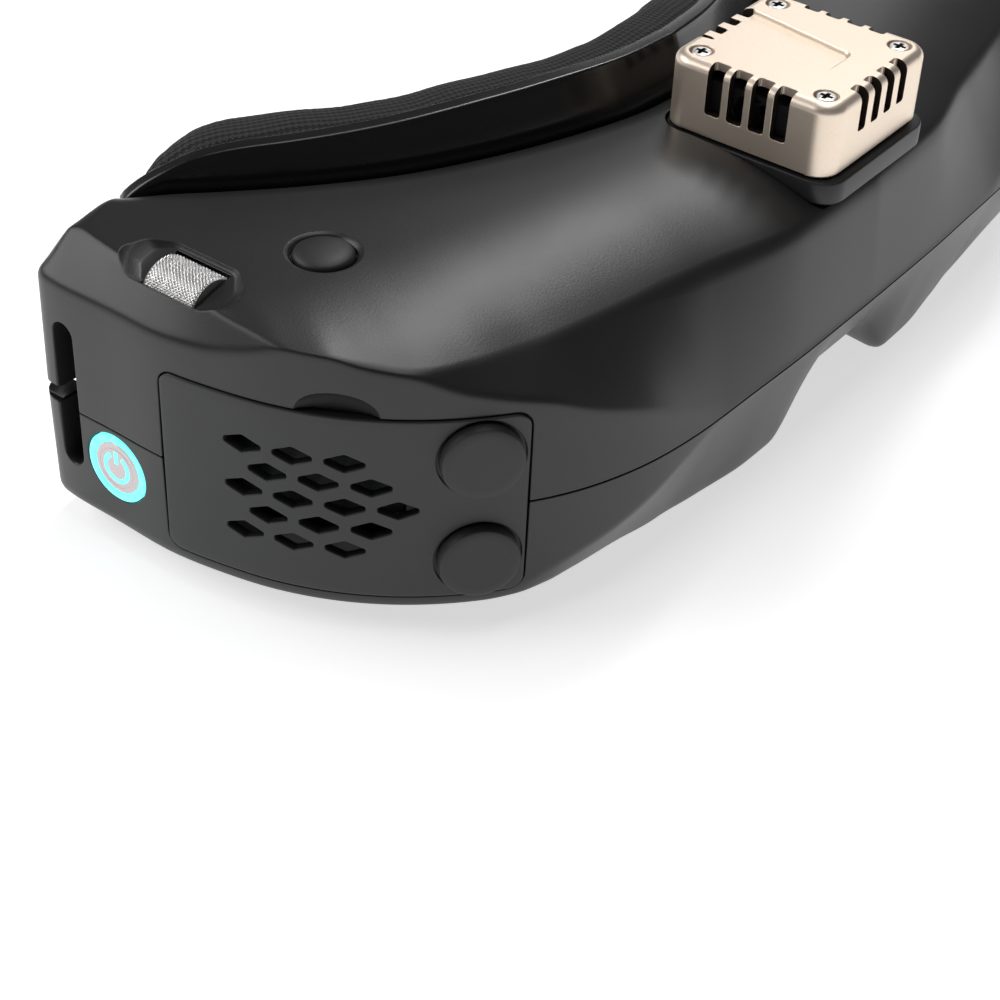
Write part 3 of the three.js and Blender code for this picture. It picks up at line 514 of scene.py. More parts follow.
def woven():
    """Black mesh cloth, woven on the diagonal, mapped by lengths kept on the foam's points."""
    f = Finish("foam_mesh_cloth", Roughness=0.86)
    f.shader.inputs["Sheen Weight"].default_value = 0.1
    f.shader.inputs["Sheen Roughness"].default_value = 0.5
    lengths = f.node("ShaderNodeAttribute", attribute_name="cloth_mm").outputs["Vector"]
    parts = f.node("ShaderNodeSeparateXYZ", {"Vector": lengths})
    u, v = parts.outputs["X"], parts.outputs["Y"]
    waver = f.spread(f.noise(0.006, 2), -0.12, 0.12)
    pitch = 0.95
    along = f.math("MULTIPLY", f.math("ADD", f.math("ADD", u, v), waver), math.pi / pitch)
    across = f.math("MULTIPLY", f.math("ADD", f.math("SUBTRACT", u, v), waver), math.pi / pitch)
    wave_a, wave_b = f.math("SINE", along), f.math("SINE", across)
    checker = f.math("MULTIPLY", wave_a, wave_b)
    over = f.spread(checker, 0.0, 1.0, -0.35, 0.35)
    threads_a = f.math("ABSOLUTE", f.math("SINE", f.math("MULTIPLY", along, 2.0)))
    threads_b = f.math("ABSOLUTE", f.math("SINE", f.math("MULTIPLY", across, 2.0)))
    threads = f.math("MULTIPLY", threads_a, threads_b)
    height = f.math("ADD", f.math("MULTIPLY", over, 0.7), f.math("MULTIPLY", threads, 0.3))
    fuzz = f.noise(0.0004, 3, 0.7)
    f.colours(f.math("ADD", height, f.math("MULTIPLY", f.math("SUBTRACT", fuzz, 0.5), 0.35)),
              linear("080809"), linear("323234"), 0.15, 0.95)
    f.bump(height, 0.00026)
    f.bump(fuzz, 0.00005)
    return f


def glass():
    f = Finish("lens_glass", Roughness=0.03, Transmission_Weight=1.0, IOR=1.5)
    f.colours(f.noise(0.01, 1), (0.86, 0.92, 0.97), (0.93, 0.97, 1.0))
    f.feed("Roughness", f.spread(f.noise(0.004, 3), 0.015, 0.05))
    return f


def screen():
    """A switched-off panel: near black, with a faint grid of cells."""
    f = Finish("display_panel", Roughness=0.12)
    parts = f.node("ShaderNodeSeparateXYZ", {"Vector": f.coords})
    cell = 2 * math.pi / 0.0004
    rows = f.math("SINE", f.math("MULTIPLY", parts.outputs["Z"], cell))
    columns = f.math("SINE", f.math("MULTIPLY", parts.outputs["X"], cell))
    f.colours(f.math("MULTIPLY", rows, columns), (0.004, 0.005, 0.008), (0.012, 0.014, 0.02),
              0.1, 0.9)
    f.feed("Roughness", f.spread(f.noise(0.003, 3), 0.08, 0.2))
    return f


def board():
    """Circuit board: green mask over square-cornered copper traces."""
    f = Finish("circuit_board", Roughness=0.4)
    traces = f.node("ShaderNodeTexVoronoi", {"Vector": f.coords, "Scale": 420.0},
                    distance="CHEBYCHEV")
    f.colours(traces.outputs["Distance"], (0.001, 0.003, 0.002), (0.003, 0.01, 0.006), 0.35, 0.5)
    f.bump(traces.outputs["Distance"], 0.00005)
    f.feed("Roughness", f.spread(f.noise(0.002, 3), 0.3, 0.5))
    return f


def glow():
    """The lit ring: cyan, with a faint uneven haze in its brightness."""
    f = Finish("power_glow", Roughness=0.35, Emission_Strength=1.25)
    haze = f.noise(0.0015, 2)
    ramp = f.node("ShaderNodeValToRGB", {"Fac": haze})
    ramp.color_ramp.elements[0].color = (*linear("5fefe8"), 1)
    ramp.color_ramp.elements[1].color = (*linear("8afcf8"), 1)
    f.feed("Emission Color", ramp.outputs["Color"])
    f.colours(haze, linear("2fb8b4"), linear("46d8d2"))
    return f


def pale_cap():
    # the cap's faint emission is painted light that brightens the pale disc
    f = Finish("power_cap", Roughness=0.38, Metallic=0.25, Emission_Strength=0.3)
    f.shader.inputs["Emission Color"].default_value = (*linear("cdbfc0"), 1)
    fine = f.noise(0.00025, 3)
    f.colours(fine, linear("b9afb1"), linear("cfc6c7"))
    f.feed("Roughness", f.spread(fine, 0.32, 0.46))
    f.bump(fine, 0.000006)
    return f


CLOTH, GLASS, SCREEN, BOARD = woven(), glass(), screen(), board()
GLOW, CAP = glow(), pale_cap()


# ---------- the two shells ----------
def outline_at(arc, depth):
    a = abs(arc)
    inset, edge = float(follow(DECK_INSET, a)), float(follow(DECK_EDGE, a))
    roll = min(ROLL_REACH, (depth - inset) * 0.45)
    return dict(
        depth=depth, inset=inset, edge=edge, roll=roll,
        top=float(follow(WALL_TOP, a)), bottom=float(follow(WALL_BOTTOM, a)),
        level=float(follow(DECK_LEVEL, a)),
        rise=min(float(follow(DECK_RISE, a)), (depth - inset - roll) * 0.95),
        belly_inset=float(follow(BELLY_INSET, a)),
        belly_front=float(follow(BELLY_EDGE, a)) + float(nose_rise(a, NOSE_FRONT)),
        belly_rear=float(follow(BELLY_REAR, a)) + float(nose_rise(a, NOSE_REAR)),
    )


def deck_point(o, t):
    return (o["inset"] + o["rise"] * t, o["level"] - (o["level"] - o["edge"]) * (1 - t) ** 2)


def roll_point(o, degrees):
    angle = math.radians(degrees)
    return (o["depth"] - o["roll"] * (1 - math.sin(angle)),
            o["level"] - ROLL_DROP * (1 - math.cos(angle)))


def outer_profile(arc, depth):
    o = outline_at(arc, depth)
    roll = [roll_point(o, a) for a in np.linspace(90, 0, 10)]
    deck = [deck_point(o, t) for t in np.linspace(1, 0.14, 16)]
    corners = [
        deck[-1], (o["inset"], o["edge"]), (0.3, o["top"]), (0, PARTING_Z), (0.3, o["bottom"]),
        (o["belly_inset"], o["belly_front"]), (depth, o["belly_rear"]),
        (depth, o["level"] - ROLL_DROP),
    ]
    edge_reach = float(follow(DECK_SOFTNESS, abs(arc)))
    reaches = [0, edge_reach, 1.0, 0, 1.0, 2.4, 1.2, 0]
    under = rounded(corners, reaches, 6, [1, 1, 8, 7, 7, 8, 16, 8])
    return np.vstack([roll, deck[:-1], under[:-1]])


def inner_profile(arc, depth):
    o = outline_at(arc, depth)
    top = max(o["top"] - 1.2, PARTING_Z + 0.6)
    bottom = min(o["bottom"] + 1.2, PARTING_Z - 0.6)
    x0, z0 = roll_point(o, 0)
    x1, z1 = deck_point(o, 0.45)
    return np.array([
        (depth - WALL, o["level"] - ROLL_DROP - 0.6), (x0, z0 - WALL), (x1, z1 - WALL),
        (o["inset"] + WALL * 0.9, o["edge"] - WALL), (WALL, top), (WALL, bottom),
        (o["belly_inset"] + WALL, o["belly_front"] + WALL), (depth - WALL, o["belly_rear"] + WALL),
    ])


def shell_rings(limit, step, profile):
    rings = []
    for arc in np.linspace(-limit, limit, 2 * round(limit / step) + 1):
        front = front_line.point(arc)
        rear = rear_line.point(np.sign(arc) * follow(FAN_OUT, abs(arc)))
        depth = float(np.linalg.norm(rear - front))
        inward = (rear - front) / depth
        flat = profile(arc, depth)
        plan = front + flat[:, :1] * inward
        rings.append(np.hstack([plan, flat[:, 1:]]))
    return np.array(rings)


def rounded_slab(start, end, low, high, corner, inner, outer, lip=0.0):
    """A curved slab on the wall with rounded corners. Lip rounds its outer rim."""
    turn = corner * (1 - np.cos(np.linspace(0, np.pi / 2, 8)))
    stations = np.concatenate([
        start + turn, np.arange(start + corner + 1, end - corner - 0.5, 1.0), (end - turn)[::-1],
    ])
    rings = []
    for arc in stations:
        edge = min(arc - start, end - arc, corner)
        drop = corner - math.sqrt(max(corner**2 - (corner - edge) ** 2, 0))
        a, b = low + drop, high - drop
        fall = lip - math.sqrt(max(lip**2 - max(lip - edge, 0) ** 2, 0)) if lip else 0
        top = outer - fall
        flat = [(inner, a), (inner, b)]
        if lip:
            turn_b = fillet((top, b), (inner, b), (top, a), lip, 4)
            turn_a = fillet((top, a), (top, b), (inner, a), lip, 4)
            across = np.linspace(turn_b[-1], turn_a[0], 26)[1:-1]
            flat += [*turn_b, *across, *turn_a]
        else:
            flat += [(top, b), (top, a)]
        out, z = np.array(flat).T
        rings.append(wall_point(arc, out, z))
    return loft(rings)


def vent_form():
    """A diamond-shaped hole with its two tips cut off and its outer rim eased."""
    w, h, e = VENT["width"] / 2, VENT["height"] / 2, VENT["tip"]
    shape = np.array([(-w, -e), (0, -h), (w, -e), (w, e), (0, h), (-w, e)])
    rings = []
    for z, grow in ((-6, 0), (-0.25, 0), (-0.08, 0.05), (0.06, 0.2), (1, 1.2)):
        flat = rounded(shape + np.sign(shape) * (grow, grow * 0.6), 0.25, 3, closed=True)
        rings.append(np.hstack([flat, np.full((len(flat), 1), z)]))
    return loft(rings)


def vent_cutters():
    hole = vent_form()
    return [
        on_wall(hole, VENT["arc"] - column * VENT["pitch"] / 2, VENT["z"] + row * VENT["row"])
        for row, columns in VENT_ROWS.items()
        for column in columns
    ]


def ellipsoid(rx, ry, rz, steps=32):
    angles = np.linspace(-np.pi / 2, np.pi / 2, steps // 2 + 1)
    profile = [(0 if abs(a) > 1.57 else math.cos(a), math.sin(a)) for a in angles]
    points, faces = lathe(profile, steps)
    return points * np.array([rx, ry, rz]), faces


def cylinder(radius, low, high, steps=48):
    return lathe([(0, low), (radius, low), (radius, high), (0, high)], steps)


def along(axis, form, x=0.0, y=0.0, z=0.0):
    """Lays a form that is built about z along another axis, then moves it."""
    if axis == "x":
        form = turned(form, "Y")
    if axis == "y":
        form = turned(form, "X", -90)
    return shifted(form, x, y, z)


def stadium(y0, y1, low, high, grow, x):
    """A ring in a plane of constant x: a slot outline with half-round ends."""
    half = (y1 - y0) / 2 + grow
    middle = (y0 + y1) / 2
    centres = (high - (y1 - y0) / 2, low + (y1 - y0) / 2)
    points = []
    for centre, first in zip(centres, (0, 180)):
        for a in np.radians(np.linspace(first, first + 180, 13)):
            points.append((x, middle + half * math.cos(a), centre + half * math.sin(a)))
    return points


def strap_slot():
    s = STRAP
    levels = [(88.6, 0), (96.5, 0), (96.8, 0.12), (97.0, 0.4), (98.5, 2.0)]
    return loft([stadium(s["y0"], s["y1"], s["low"], s["high"], grow, x) for x, grow in levels])


def strap_slit():
    """The slit through the rear post, its lips rounded outwards on the end face."""
    s = STRAP
    y0, y1 = s["y1"] - 1.4, 64.0
    rings = []
    for x, grow in ((91.0, 0), (96.1, 0), (96.6, 0.12), (96.95, 0.4), (97.4, 1.0), (99.0, 2.5)):
        low, high = s["slit_low"] + 0.7 - grow, s["slit_high"] - 0.7 + grow
        rings.append([(x, y0, low), (x, y1, low), (x, y1, high), (x, y0, high)])
    return loft(rings)


def wheel_recess():
    """An elongated hexagon with sloping walls, sunk in the deck beside the wheel."""
    shape = np.array([(-4.6, -6.2), (-1.2, -9.3), (2.4, -9.3), (4.6, -6.2), (4.6, 6.2),
                      (1.2, 9.3), (-2.4, 9.3), (-4.6, 6.2)])
    rings = []
    for z, grow in ((0, 0.8), (0.15, 0.84), (0.95, 0.98), (1.2, 1.02), (1.5, 1.08), (8, 1.8)):
        flat = rounded(shape * grow, 0.9, 4, closed=True)
        rings.append(np.hstack([flat, np.full((len(flat), 1), z)]))
    form = turned(loft(rings), "Y", WHEEL["tilt"])
    return shifted(form, WHEEL["x"], WHEEL["y"], DECK_Z - WHEEL["recess"])


def key_recess():
    profile = [(0, 36), (KEY_RADIUS + 0.25, 36), (KEY_RADIUS + 0.25, DECK_Z - 0.55),
               (KEY_RADIUS + 0.4, DECK_Z - 0.45), (KEY_RECESS - 0.4, DECK_Z - 0.2),
               (KEY_RECESS - 0.1, DECK_Z - 0.06), (KEY_RECESS + 0.3, DECK_Z + 0.2), (0, 50)]
    return shifted(lathe(profile, 96), KEY_X, KEY_Y)


def rounded_square(half, corner, z, steps=8, extra=0.0):
    """A square ring with round corners. Extra is how much longer it is along y, at the front."""
    corners = [(-half, -half - extra), (half, -half - extra), (half, half), (-half, half)]
    turn = []
    for i, (cx, cy) in enumerate(corners):
        sx, sy = math.copysign(1, cx), math.copysign(1, cy)
        centre = (cx - sx * corner, cy - sy * corner)
        start = (180, 270, 0, 90)[i]
        for a in np.radians(np.linspace(start, start + 90, steps + 1)):
            turn.append((centre[0] + corner * math.cos(a), centre[1] + corner * math.sin(a), z))
    return turn


def eye_window(start, end, grow, nose=0):
    """The opening for the eyes, one window that narrows over the nose, by as much more as nose."""
    limit, corner = WINDOW["half"] + grow, WINDOW["corner"]
    rings = []
    for q in np.linspace(-limit, limit, 181):
        a = abs(q)
        inside = math.sqrt(max(corner**2 - max(a - (limit - corner), 0) ** 2, 0))
        low = WINDOW["low"] - grow + float(nose_rise(a, NOSE_WINDOW)) + corner - inside
        low += nose * near_nose(a)
        high = WINDOW["high"] + grow - corner + inside
        flat = [(start, low), (start, high), (end, high), (end, low)]
        rings.append([behind(q, out, z) for out, z in flat])
    return loft(rings)


def both(form):
    return merged(form, mirrored(form))


def end_hole(z, half_y, half_z):
    """The hole for a socket in the +X end."""
    return block(90.5, 99, SOCKET_Y - half_y, SOCKET_Y + half_y, z - half_z, z + half_z)


def build_shells():
    body = make("shell_body", loft(shell_rings(front_line.length, 1.0, outer_profile)))
    cut(body, loft(shell_rings(CAVITY_END, 2.0, inner_profile)), eye_window(-4, 4, 0))
    g = COVER["gap"]
    opening = rounded_slab(COVER["start"] - g, COVER["end"] + g, COVER["low"] - g,
                           COVER["high"] + g, COVER["corner"] + g, -COVER["thick"] - 0.15, 3)
    e = COVER["ledge"]
    inner = rounded_slab(COVER["start"] + e, COVER["end"] - e, COVER["low"] + e,
                         COVER["high"] - e, COVER["corner"], -4, 3)
    scoop = ellipsoid(6, 3.6, 1.6)
    cut(body, both(opening), both(inner), both(block(88.6, 92.2, STRAP["y0"], 63, 10.8, 34)),
        both(strap_slot()), both(strap_slit()), both(on_wall(scoop, 100, COVER["high"])))
    top, bottom = body, body.copy()
    bottom.data = body.data.copy()
    bpy.context.collection.objects.link(bottom)
    boolean(top, block(-120, 120, -40, 80, PARTING_Z + SEAM, 60), "INTERSECT")
    boolean(bottom, block(-120, 120, -40, 80, -1, PARTING_Z - SEAM), "INTERSECT")
    w = WHEEL
    reach = w["width"] / 2 + GAP
    well = along("y", cylinder(w["radius"] + 0.35, w["y"] - reach, w["y"] + reach, 96),
                 w["x"], 0, w["z"])
    room = block(w["x"] - 2.2, w["x"] + 2.2, w["y"] - 6.3, w["y"] + 6.3,
                 w["z"] - 8, w["z"] + 1.3)
    cut(top, both(wheel_recess()), both(well), both(room), both(key_recess()),
        end_hole(PORT_Z, *PORT_HALF), *fan_seat(GAP, 50))
    power = mirrored(along("x", cylinder(POWER_RING + 0.25, 91.4, 99, 64), 0, POWER_Y, POWER_Z))
    slots = both(block(EYE["x"] - 8, EYE["x"] + 8, 0, 6, -1, 4, 0.8))
    for x, y, post_top in CASE_SCREWS:
        boolean(bottom, shifted(cylinder(2.6, 1.4, post_top), x, y), "UNION")
    sunk = lathe([(0, -1), (1.9, -1), (1.9, 1.9), (1.15, 1.95), (1.15, 14), (0, 14)], 32)
    screws = [shifted(sunk, x, y) for x, y, _ in CASE_SCREWS]
    cut(bottom, power, slots, merged(*screws), end_hole(JACK_Z, JACK_HALF, JACK_HALF))
    return top, bottom


def fan_seat(grow, top):
    """The flange under the fan cover, and the narrower neck below it."""
    flange = [rounded_square(14.4 + grow, 4 + grow, z, 8, 1.0) for z in (41 - grow, top)]
    neck = [rounded_square(12.5 + grow, 4 + grow, z, 8, 1.0) for z in (37.6 - grow, top - 1)]
    return loft(flange), loft(neck)


shell_top, shell_bottom = build_shells()
shell_top.name, shell_bottom.name = "top_shell_form", "bottom_shell_form"
piece(shell_top, "chassis", "shell", SHELL.material, "upper_shell", angle=24)
piece(shell_bottom, "chassis", "shell", SHELL.material, "lower_shell", angle=24)


# ---------- the face side ----------
def strip_rings(limit, profile, step=1.0):
    """Rings along the rear line, each from a profile of (distance behind it, height)."""
    rings = []
    for q in np.linspace(-limit, limit, 2 * round(limit / step) + 1):
        out, z = np.array(profile(q)).T
        rings.append(behind(q, out, z))
    return np.array(rings)


def plate_bottom(q):
    return float(follow(PLATE_BOTTOM, abs(q))) + float(nose_rise(abs(q), NOSE_REAR))


def plate_profile(q):
    """The plate's wall, with a flared lip whose rim is rounded."""
    low, high = plate_bottom(q), float(follow(PLATE_TOP, abs(q)))
    kink = min(44.8, high - 1.2)
    flare = 2.5 * min((high - kink) / 6, 1)
    face = 0.08
    corners = [(face, low), (face, kink), (face + flare, high), (2.5 + flare, high),
               (2.6, kink), (2.6, low)]
    reaches = [0.3, 2.0, 0.35, 0.4, 2.0, 0.3]
    return rounded(corners, reaches, 5, [3, 10, 5, 2, 5, 10], closed=True)


def build_plate():
    plate = make("face_plate_form", loft(strip_rings(PLATE_END, plate_profile)))
    return cut(plate, eye_window(-2, 6, 0))


def foam_profile(q):
    a = abs(q)
    thick = float(follow(FOAM_THICKNESS, a))
    low = plate_bottom(q) + 1.5 - 1.2 * near_nose(a)
    high = float(follow(FOAM_TOP, a))
    lean = min(2.2, thick * 0.3)
    corners = [(3, low), (3, min(44, high - 1)), (3 + lean, high), (2.6 + thick, high),
               (3 + thick, high - 2.2), (3 + thick, low + 2), (2 + thick, low)]
    return rounded(corners, min(3.0, thick * 0.4), 4, [2, 24, 4, 4, 1, 24, 4], closed=True)


def lengths_on_rear_line(points):
    """For points in plan, their length along the rear line and distance behind it."""
    q = np.linspace(-rear_line.length, rear_line.length, 1201)
    line, tangent = rear_line.point(q), rear_line.tangent(q)
    away = points[:, None, :] - line[None, :, :]
    nearest = np.argmin((away**2).sum(-1), axis=1)
    normal = np.stack([-tangent[:, 1], tangent[:, 0]], -1)[nearest]
    gap = np.take_along_axis(away, nearest[:, None, None], 1)[:, 0]
    return q[nearest] + (gap * tangent[nearest]).sum(-1), (gap * normal).sum(-1)


def build_foam():
    """The face foam: a soft band with a crowned section and slightly uneven upholstery."""
    foam = make("face_foam_form", loft(strip_rings(FOAM_END, foam_profile)))
    cut(foam, eye_window(0, 18, 1.8, 3))
    remesh = foam.modifiers.new("voxels", "REMESH")
    remesh.mode, remesh.voxel_size = "VOXEL", 0.9 * MM
    settle(foam)
    relax = foam.modifiers.new("relax", "SMOOTH")
    relax.factor, relax.iterations = 0.5, 9
    settle(foam)
    mesh = foam.data
    points = np.array([v.co for v in mesh.vertices]) / MM + np.array([0, DEPTH_CENTRE, 0])
    normals = np.array([v.normal for v in mesh.vertices])
    q, out = lengths_on_rear_line(points[:, :2])
    swell = 0.22 * np.sin(q / 6.1 + 0.7) * np.sin(points[:, 2] / 7.3 + 0.4)
    swell += 0.12 * np.sin(q / 2.7) * np.sin(points[:, 2] / 3.1 + q / 9)
    swell *= smooth((out - 4) / 4)
    points += normals * (swell[:, None] - 0.1)
    mesh.vertices.foreach_set("co", ((points - np.array([0, DEPTH_CENTRE, 0])) * MM).ravel())
    mesh.update()
    cloth = mesh.attributes.new("cloth_mm", "FLOAT_VECTOR", "POINT")
    flat = np.stack([q, points[:, 2] - out, np.zeros_like(q)], -1)
    cloth.data.foreach_set("vector", flat.astype(np.float32).ravel())
    return foam


face_plate = build_plate()
piece(face_plate, "chassis", "faceplate", PLATE.material, "face_plate", angle=28)
face_foam = build_foam()
piece(face_foam, "chassis", "foam", CLOTH.material, "face_foam", angle=80)


# ---------- air-cooled video unit ----------
def rounded_top(half, low, high, reach, steps=7):
    """The levels of an upright body whose top rim is rounded."""
    levels = [(half, low)]
    for a in np.radians(np.linspace(0, 90, steps)):
        levels.append((half - reach * (1 - math.cos(a)), high - reach * (1 - math.sin(a))))
    return levels


SCREW_PLACES = [(-1, -1), (1, -1), (1, 1), (-1, 1)]


def panel_form(half, top):
    """The shallow tapered panel in the cover's top, open at the rear edge."""
    slope = (6.8 - PANEL_HALF) / (half - PANEL_FRONT)
    rear = half + 2
    wide = PANEL_HALF + slope * (rear - PANEL_FRONT)
    panel = rounded([(-wide, rear), (-PANEL_HALF, PANEL_FRONT), (PANEL_HALF, PANEL_FRONT),
                     (wide, rear)], [0, 1.4, 1.4, 0], 6)
    middle = np.array([0, 4.0])
    rings = []
    for z, grow in ((-0.7, 0.95), (-0.5, 0.955), (-0.12, 0.985), (0, 1.01), (1, 1.1)):
        flat = (panel - middle) * grow + middle
        rings.append(np.hstack([flat, np.full((len(flat), 1), top + z)]))
    return loft(rings)


def build_fan_cover():
    half, top, foot, wall = FAN["half"], FAN["top"], FAN["foot"], FAN["wall"]
    levels = [(half - 0.25, foot), (half, foot + 0.25), *rounded_top(half, foot + 1, top, 1.5)]
    outer = loft([rounded_square(h, FAN["corner"] - (half - h), z, 10) for h, z in levels])
    cover = make("fan_cover_form", outer)
    inside = [rounded_square(half - wall, FAN["corner"] - wall, z)
              for z in (foot - 3, top - wall)]
    cut(cover, loft(inside))
    for offset in (-1.5, -0.5, 0.5, 1.5):
        middle = offset * SLOT_PITCH
        for side in (-1, 1):
            a, b = sorted((side * (half - 2.2), side * (half + 2)))
            across = block(a, b, middle - 1.3, middle + 1.3, top - 7.4, top + SLOT_TOP, 0.5)
            along_y = block(middle - 1, middle + 1, a, b, top - 6, top + SLOT_TOP, 0.4)
            cut(cover, across, along_y)
    cut(cover, panel_form(half, top))
    sinks = [shifted(lathe([(0, top - 4), (1.1, top - 4), (1.1, top - 0.8), (1.8, top - 0.8),
                            (1.8, top - 0.1), (1.95, top + 0.15), (0, top + 1)], 40),
                     sx * FAN["screws"], sy * FAN["screws"]) for sx, sy in SCREW_PLACES]
    return cut(cover, merged(*sinks))


def cross_slot(width, reach, low, high, x, y):
    """A Phillips recess: two tapering arms."""
    forms = []
    for wx, wy in ((reach, width), (width, reach)):
        rings = [[(x + sx * wx * k, y + sy * wy * k, z) for sx, sy in SCREW_PLACES]
                 for z, k in ((low, 0.55), (high, 1.15))]
        forms.append(loft(rings))
    return forms


def build_fan_screw(number, sx, sy):
    x, y, top = sx * FAN["screws"], sy * FAN["screws"], FAN["top"]
    head = lathe([(0, top - 10.5), (0.8, top - 10.5), (0.8, top - 0.8), (1.45, top - 0.75),
                  (1.5, top - 0.3), (1.4, top - 0.12), (0.9, top - 0.05), (0, top - 0.03)], 40)
    screw = make(f"fan_screw_form_{number}", shifted(head, x, y))
    return cut(screw, *cross_slot(0.28, 0.95, top - 0.6, top + 0.05, x, y))


def build_rotor():
    """Hub and swept blades of a small axial fan."""
    low, high = FAN["foot"] + 2.2, FAN["foot"] + 8
    hub = lathe([(1.15, low), (4.2, low), (4.4, low + 0.2), (4.4, high - 0.5), (3.9, high),
                 (1.2, high), (0.4, high - 0.2), (0.4, high - 1), (1.15, high - 1)], 64)
    forms = [hub]
    for blade in range(BLADES):
        rings = []
        for radius in np.linspace(4.2, 10.7, 9):
            pitch = math.radians(52 - 2.4 * (radius - 4.2))
            sweep = blade * 2 * math.pi / BLADES + 0.05 * (radius - 4.2)
            chord = 3.6 + 0.12 * (radius - 4.2)
            ring = []
            for side in (1, -1):
                for t in np.linspace(-1, 1, 9)[::side]:
                    bow = 0.35 * (1 - t * t) + side * 0.28 * (1 - t**4) + side * 0.05
                    along_blade = t * chord
                    tangential = along_blade * math.cos(pitch) - bow * math.sin(pitch)
                    height = along_blade * math.sin(pitch) * 0.72 + bow * math.cos(pitch)
                    angle = sweep + tangential / radius
                    ring.append((radius * math.cos(angle), radius * math.sin(angle),
                                 (low + high) / 2 + height))
            rings.append(ring)
        forms.append(loft(rings))
    return make("fan_rotor_form", merged(*forms))


def build_plinth():
    levels = [(14.0, 41.0), (14.4, 41.4), (14.4, 44.3), (14.3, 44.52), (14.1, 44.6)]
    flange = loft([rounded_square(h, 4 - (14.4 - h), z, 10, 1.0) for h, z in levels])
    plinth = make("fan_plinth_form", flange)
    neck = loft([rounded_square(12.5, 4, z, 10, 1.0) for z in (37.6, 41.5)])
    boolean(plinth, neck, "UNION")
    return cut(plinth, cylinder(11, 30, 50, 64))


def shade_screw_recess(obj, low, high, radius):
    """Paints shade into a screw's recess: the faces round its upright axis, between two heights,
    get the black finish as painted shade.
    """
    obj.data.materials.append(BLACK.material)
    middle = sum((v.co for v in obj.data.vertices), Vector()) / len(obj.data.vertices)
    for face in obj.data.polygons:
        away = (face.center.xy - middle.xy).length
        if low * MM < face.center.z < high * MM and away < radius * MM:
            face.material_index = 1


piece(build_plinth(), "chassis", "shell", SHELL.material, "fan_plinth")
fan_cover = piece(build_fan_cover(), "chassis", "champagne", CHAMPAGNE.material, "fan_housing",
                  angle=28)
flatten(fan_cover)
fan_cover.data.materials.append(SHADE.material)
for face in fan_cover.data.polygons:
    across = (abs(face.center.x), abs(face.center.y + DEPTH_CENTRE * MM))
    near, far = sorted(across)
    if far < 13.9 * MM and near < 9.5 * MM and face.center.z < (FAN["top"] - 1.25) * MM:
        face.material_index = 1
for index, (sign_x, sign_y) in enumerate(SCREW_PLACES, 1):
    fan_screw = piece(build_fan_screw(index, sign_x, sign_y), "chassis", "steel", STEEL.material,
                      f"fan_screw_{index}")
    # the cross recess in each fan screw's head gets the black finish as painted shade
    shade_screw_recess(fan_screw, FAN["top"] - 0.7, FAN["top"] - 0.1, 1.2)
piece(build_rotor(), "fan", "black", BLACK.material, "fan_rotor", angle=40)


# ---------- end fittings, made for the +X end ----------
def build_cover():
    c = COVER
    slab = rounded_slab(c["start"], c["end"], c["low"], c["high"], c["corner"], -c["thick"],
                        0.05, lip=0.35)
    cover = make("side_cover", slab)
    pocket = lathe([(0, -6), (3.4, -6), (3.4, -0.7), (6.0, -0.7), (6.0, -0.1), (6.15, 0.1),
                    (6.3, 3), (0, 3)], 96)
    pockets = [on_wall(pocket, PLUG_ARC, z) for z in PLUG_HEIGHTS]
    return cut(cover, merged(*vent_cutters()), *pockets)


def plug_form(z):
    r, h = PLUG_RADIUS, PLUG_PROUD
    profile = [(0, -3.6), (3.1, -3.6), (3.1, -0.4), (r - 0.15, -0.4), (r, -0.25), (r, h - 0.6),
               (r - 0.18, h - 0.2), (r - 0.6, h - 0.02), (r - 1.6, h), (0, h)]
    return on_wall(lathe(profile, 96), PLUG_ARC, z)


def knurled_wheel():
    """A diamond-knurled drum about the y axis, with chamfered ends and a bore."""
    w = WHEEL
    radius, half = w["radius"], w["width"] / 2
    around, teeth, pitch = 384, 48, 0.589
    angles = np.linspace(0, 2 * np.pi, around, endpoint=False)
    widths = np.concatenate([[-half + 0.02], np.linspace(-half + 0.25, half - 0.25, 104),
                             [half - 0.02]])
    rings = []
    for angle in angles:
        u = angle * teeth / (2 * np.pi)
        a, b = u + widths / pitch, u - widths / pitch
        ridge = [1 - np.abs(2 * (t - np.floor(t)) - 1) for t in (a, b)]
        height = np.minimum(*ridge)
        r = radius - 0.28 * (1 - height)
        r[0] = r[-1] = radius - 0.36
        flat = list(zip(widths, r))
        flat += [(half, 4.0), (half, 1.3), (-half, 1.3), (-half, 4.0)]
        rings.append([(value * math.cos(angle), y, value * math.sin(angle)) for y, value in flat])
    return shifted(loft(rings, "loop"), w["x"], w["y"], w["z"])


def key_form():
    profile = [(0, 40.4), (5, 40.4), (5, 41.3), (KEY_RADIUS, 41.3), (KEY_RADIUS, DECK_Z - 0.35),
               (KEY_RADIUS - 0.14, DECK_Z - 0.08), (KEY_RADIUS - 0.5, DECK_Z + 0.16),
               (KEY_RADIUS - 1.2, DECK_Z + 0.4), (2, DECK_Z + 0.6), (0, DECK_Z + 0.7)]
    return shifted(lathe(profile, 96), KEY_X, KEY_Y)


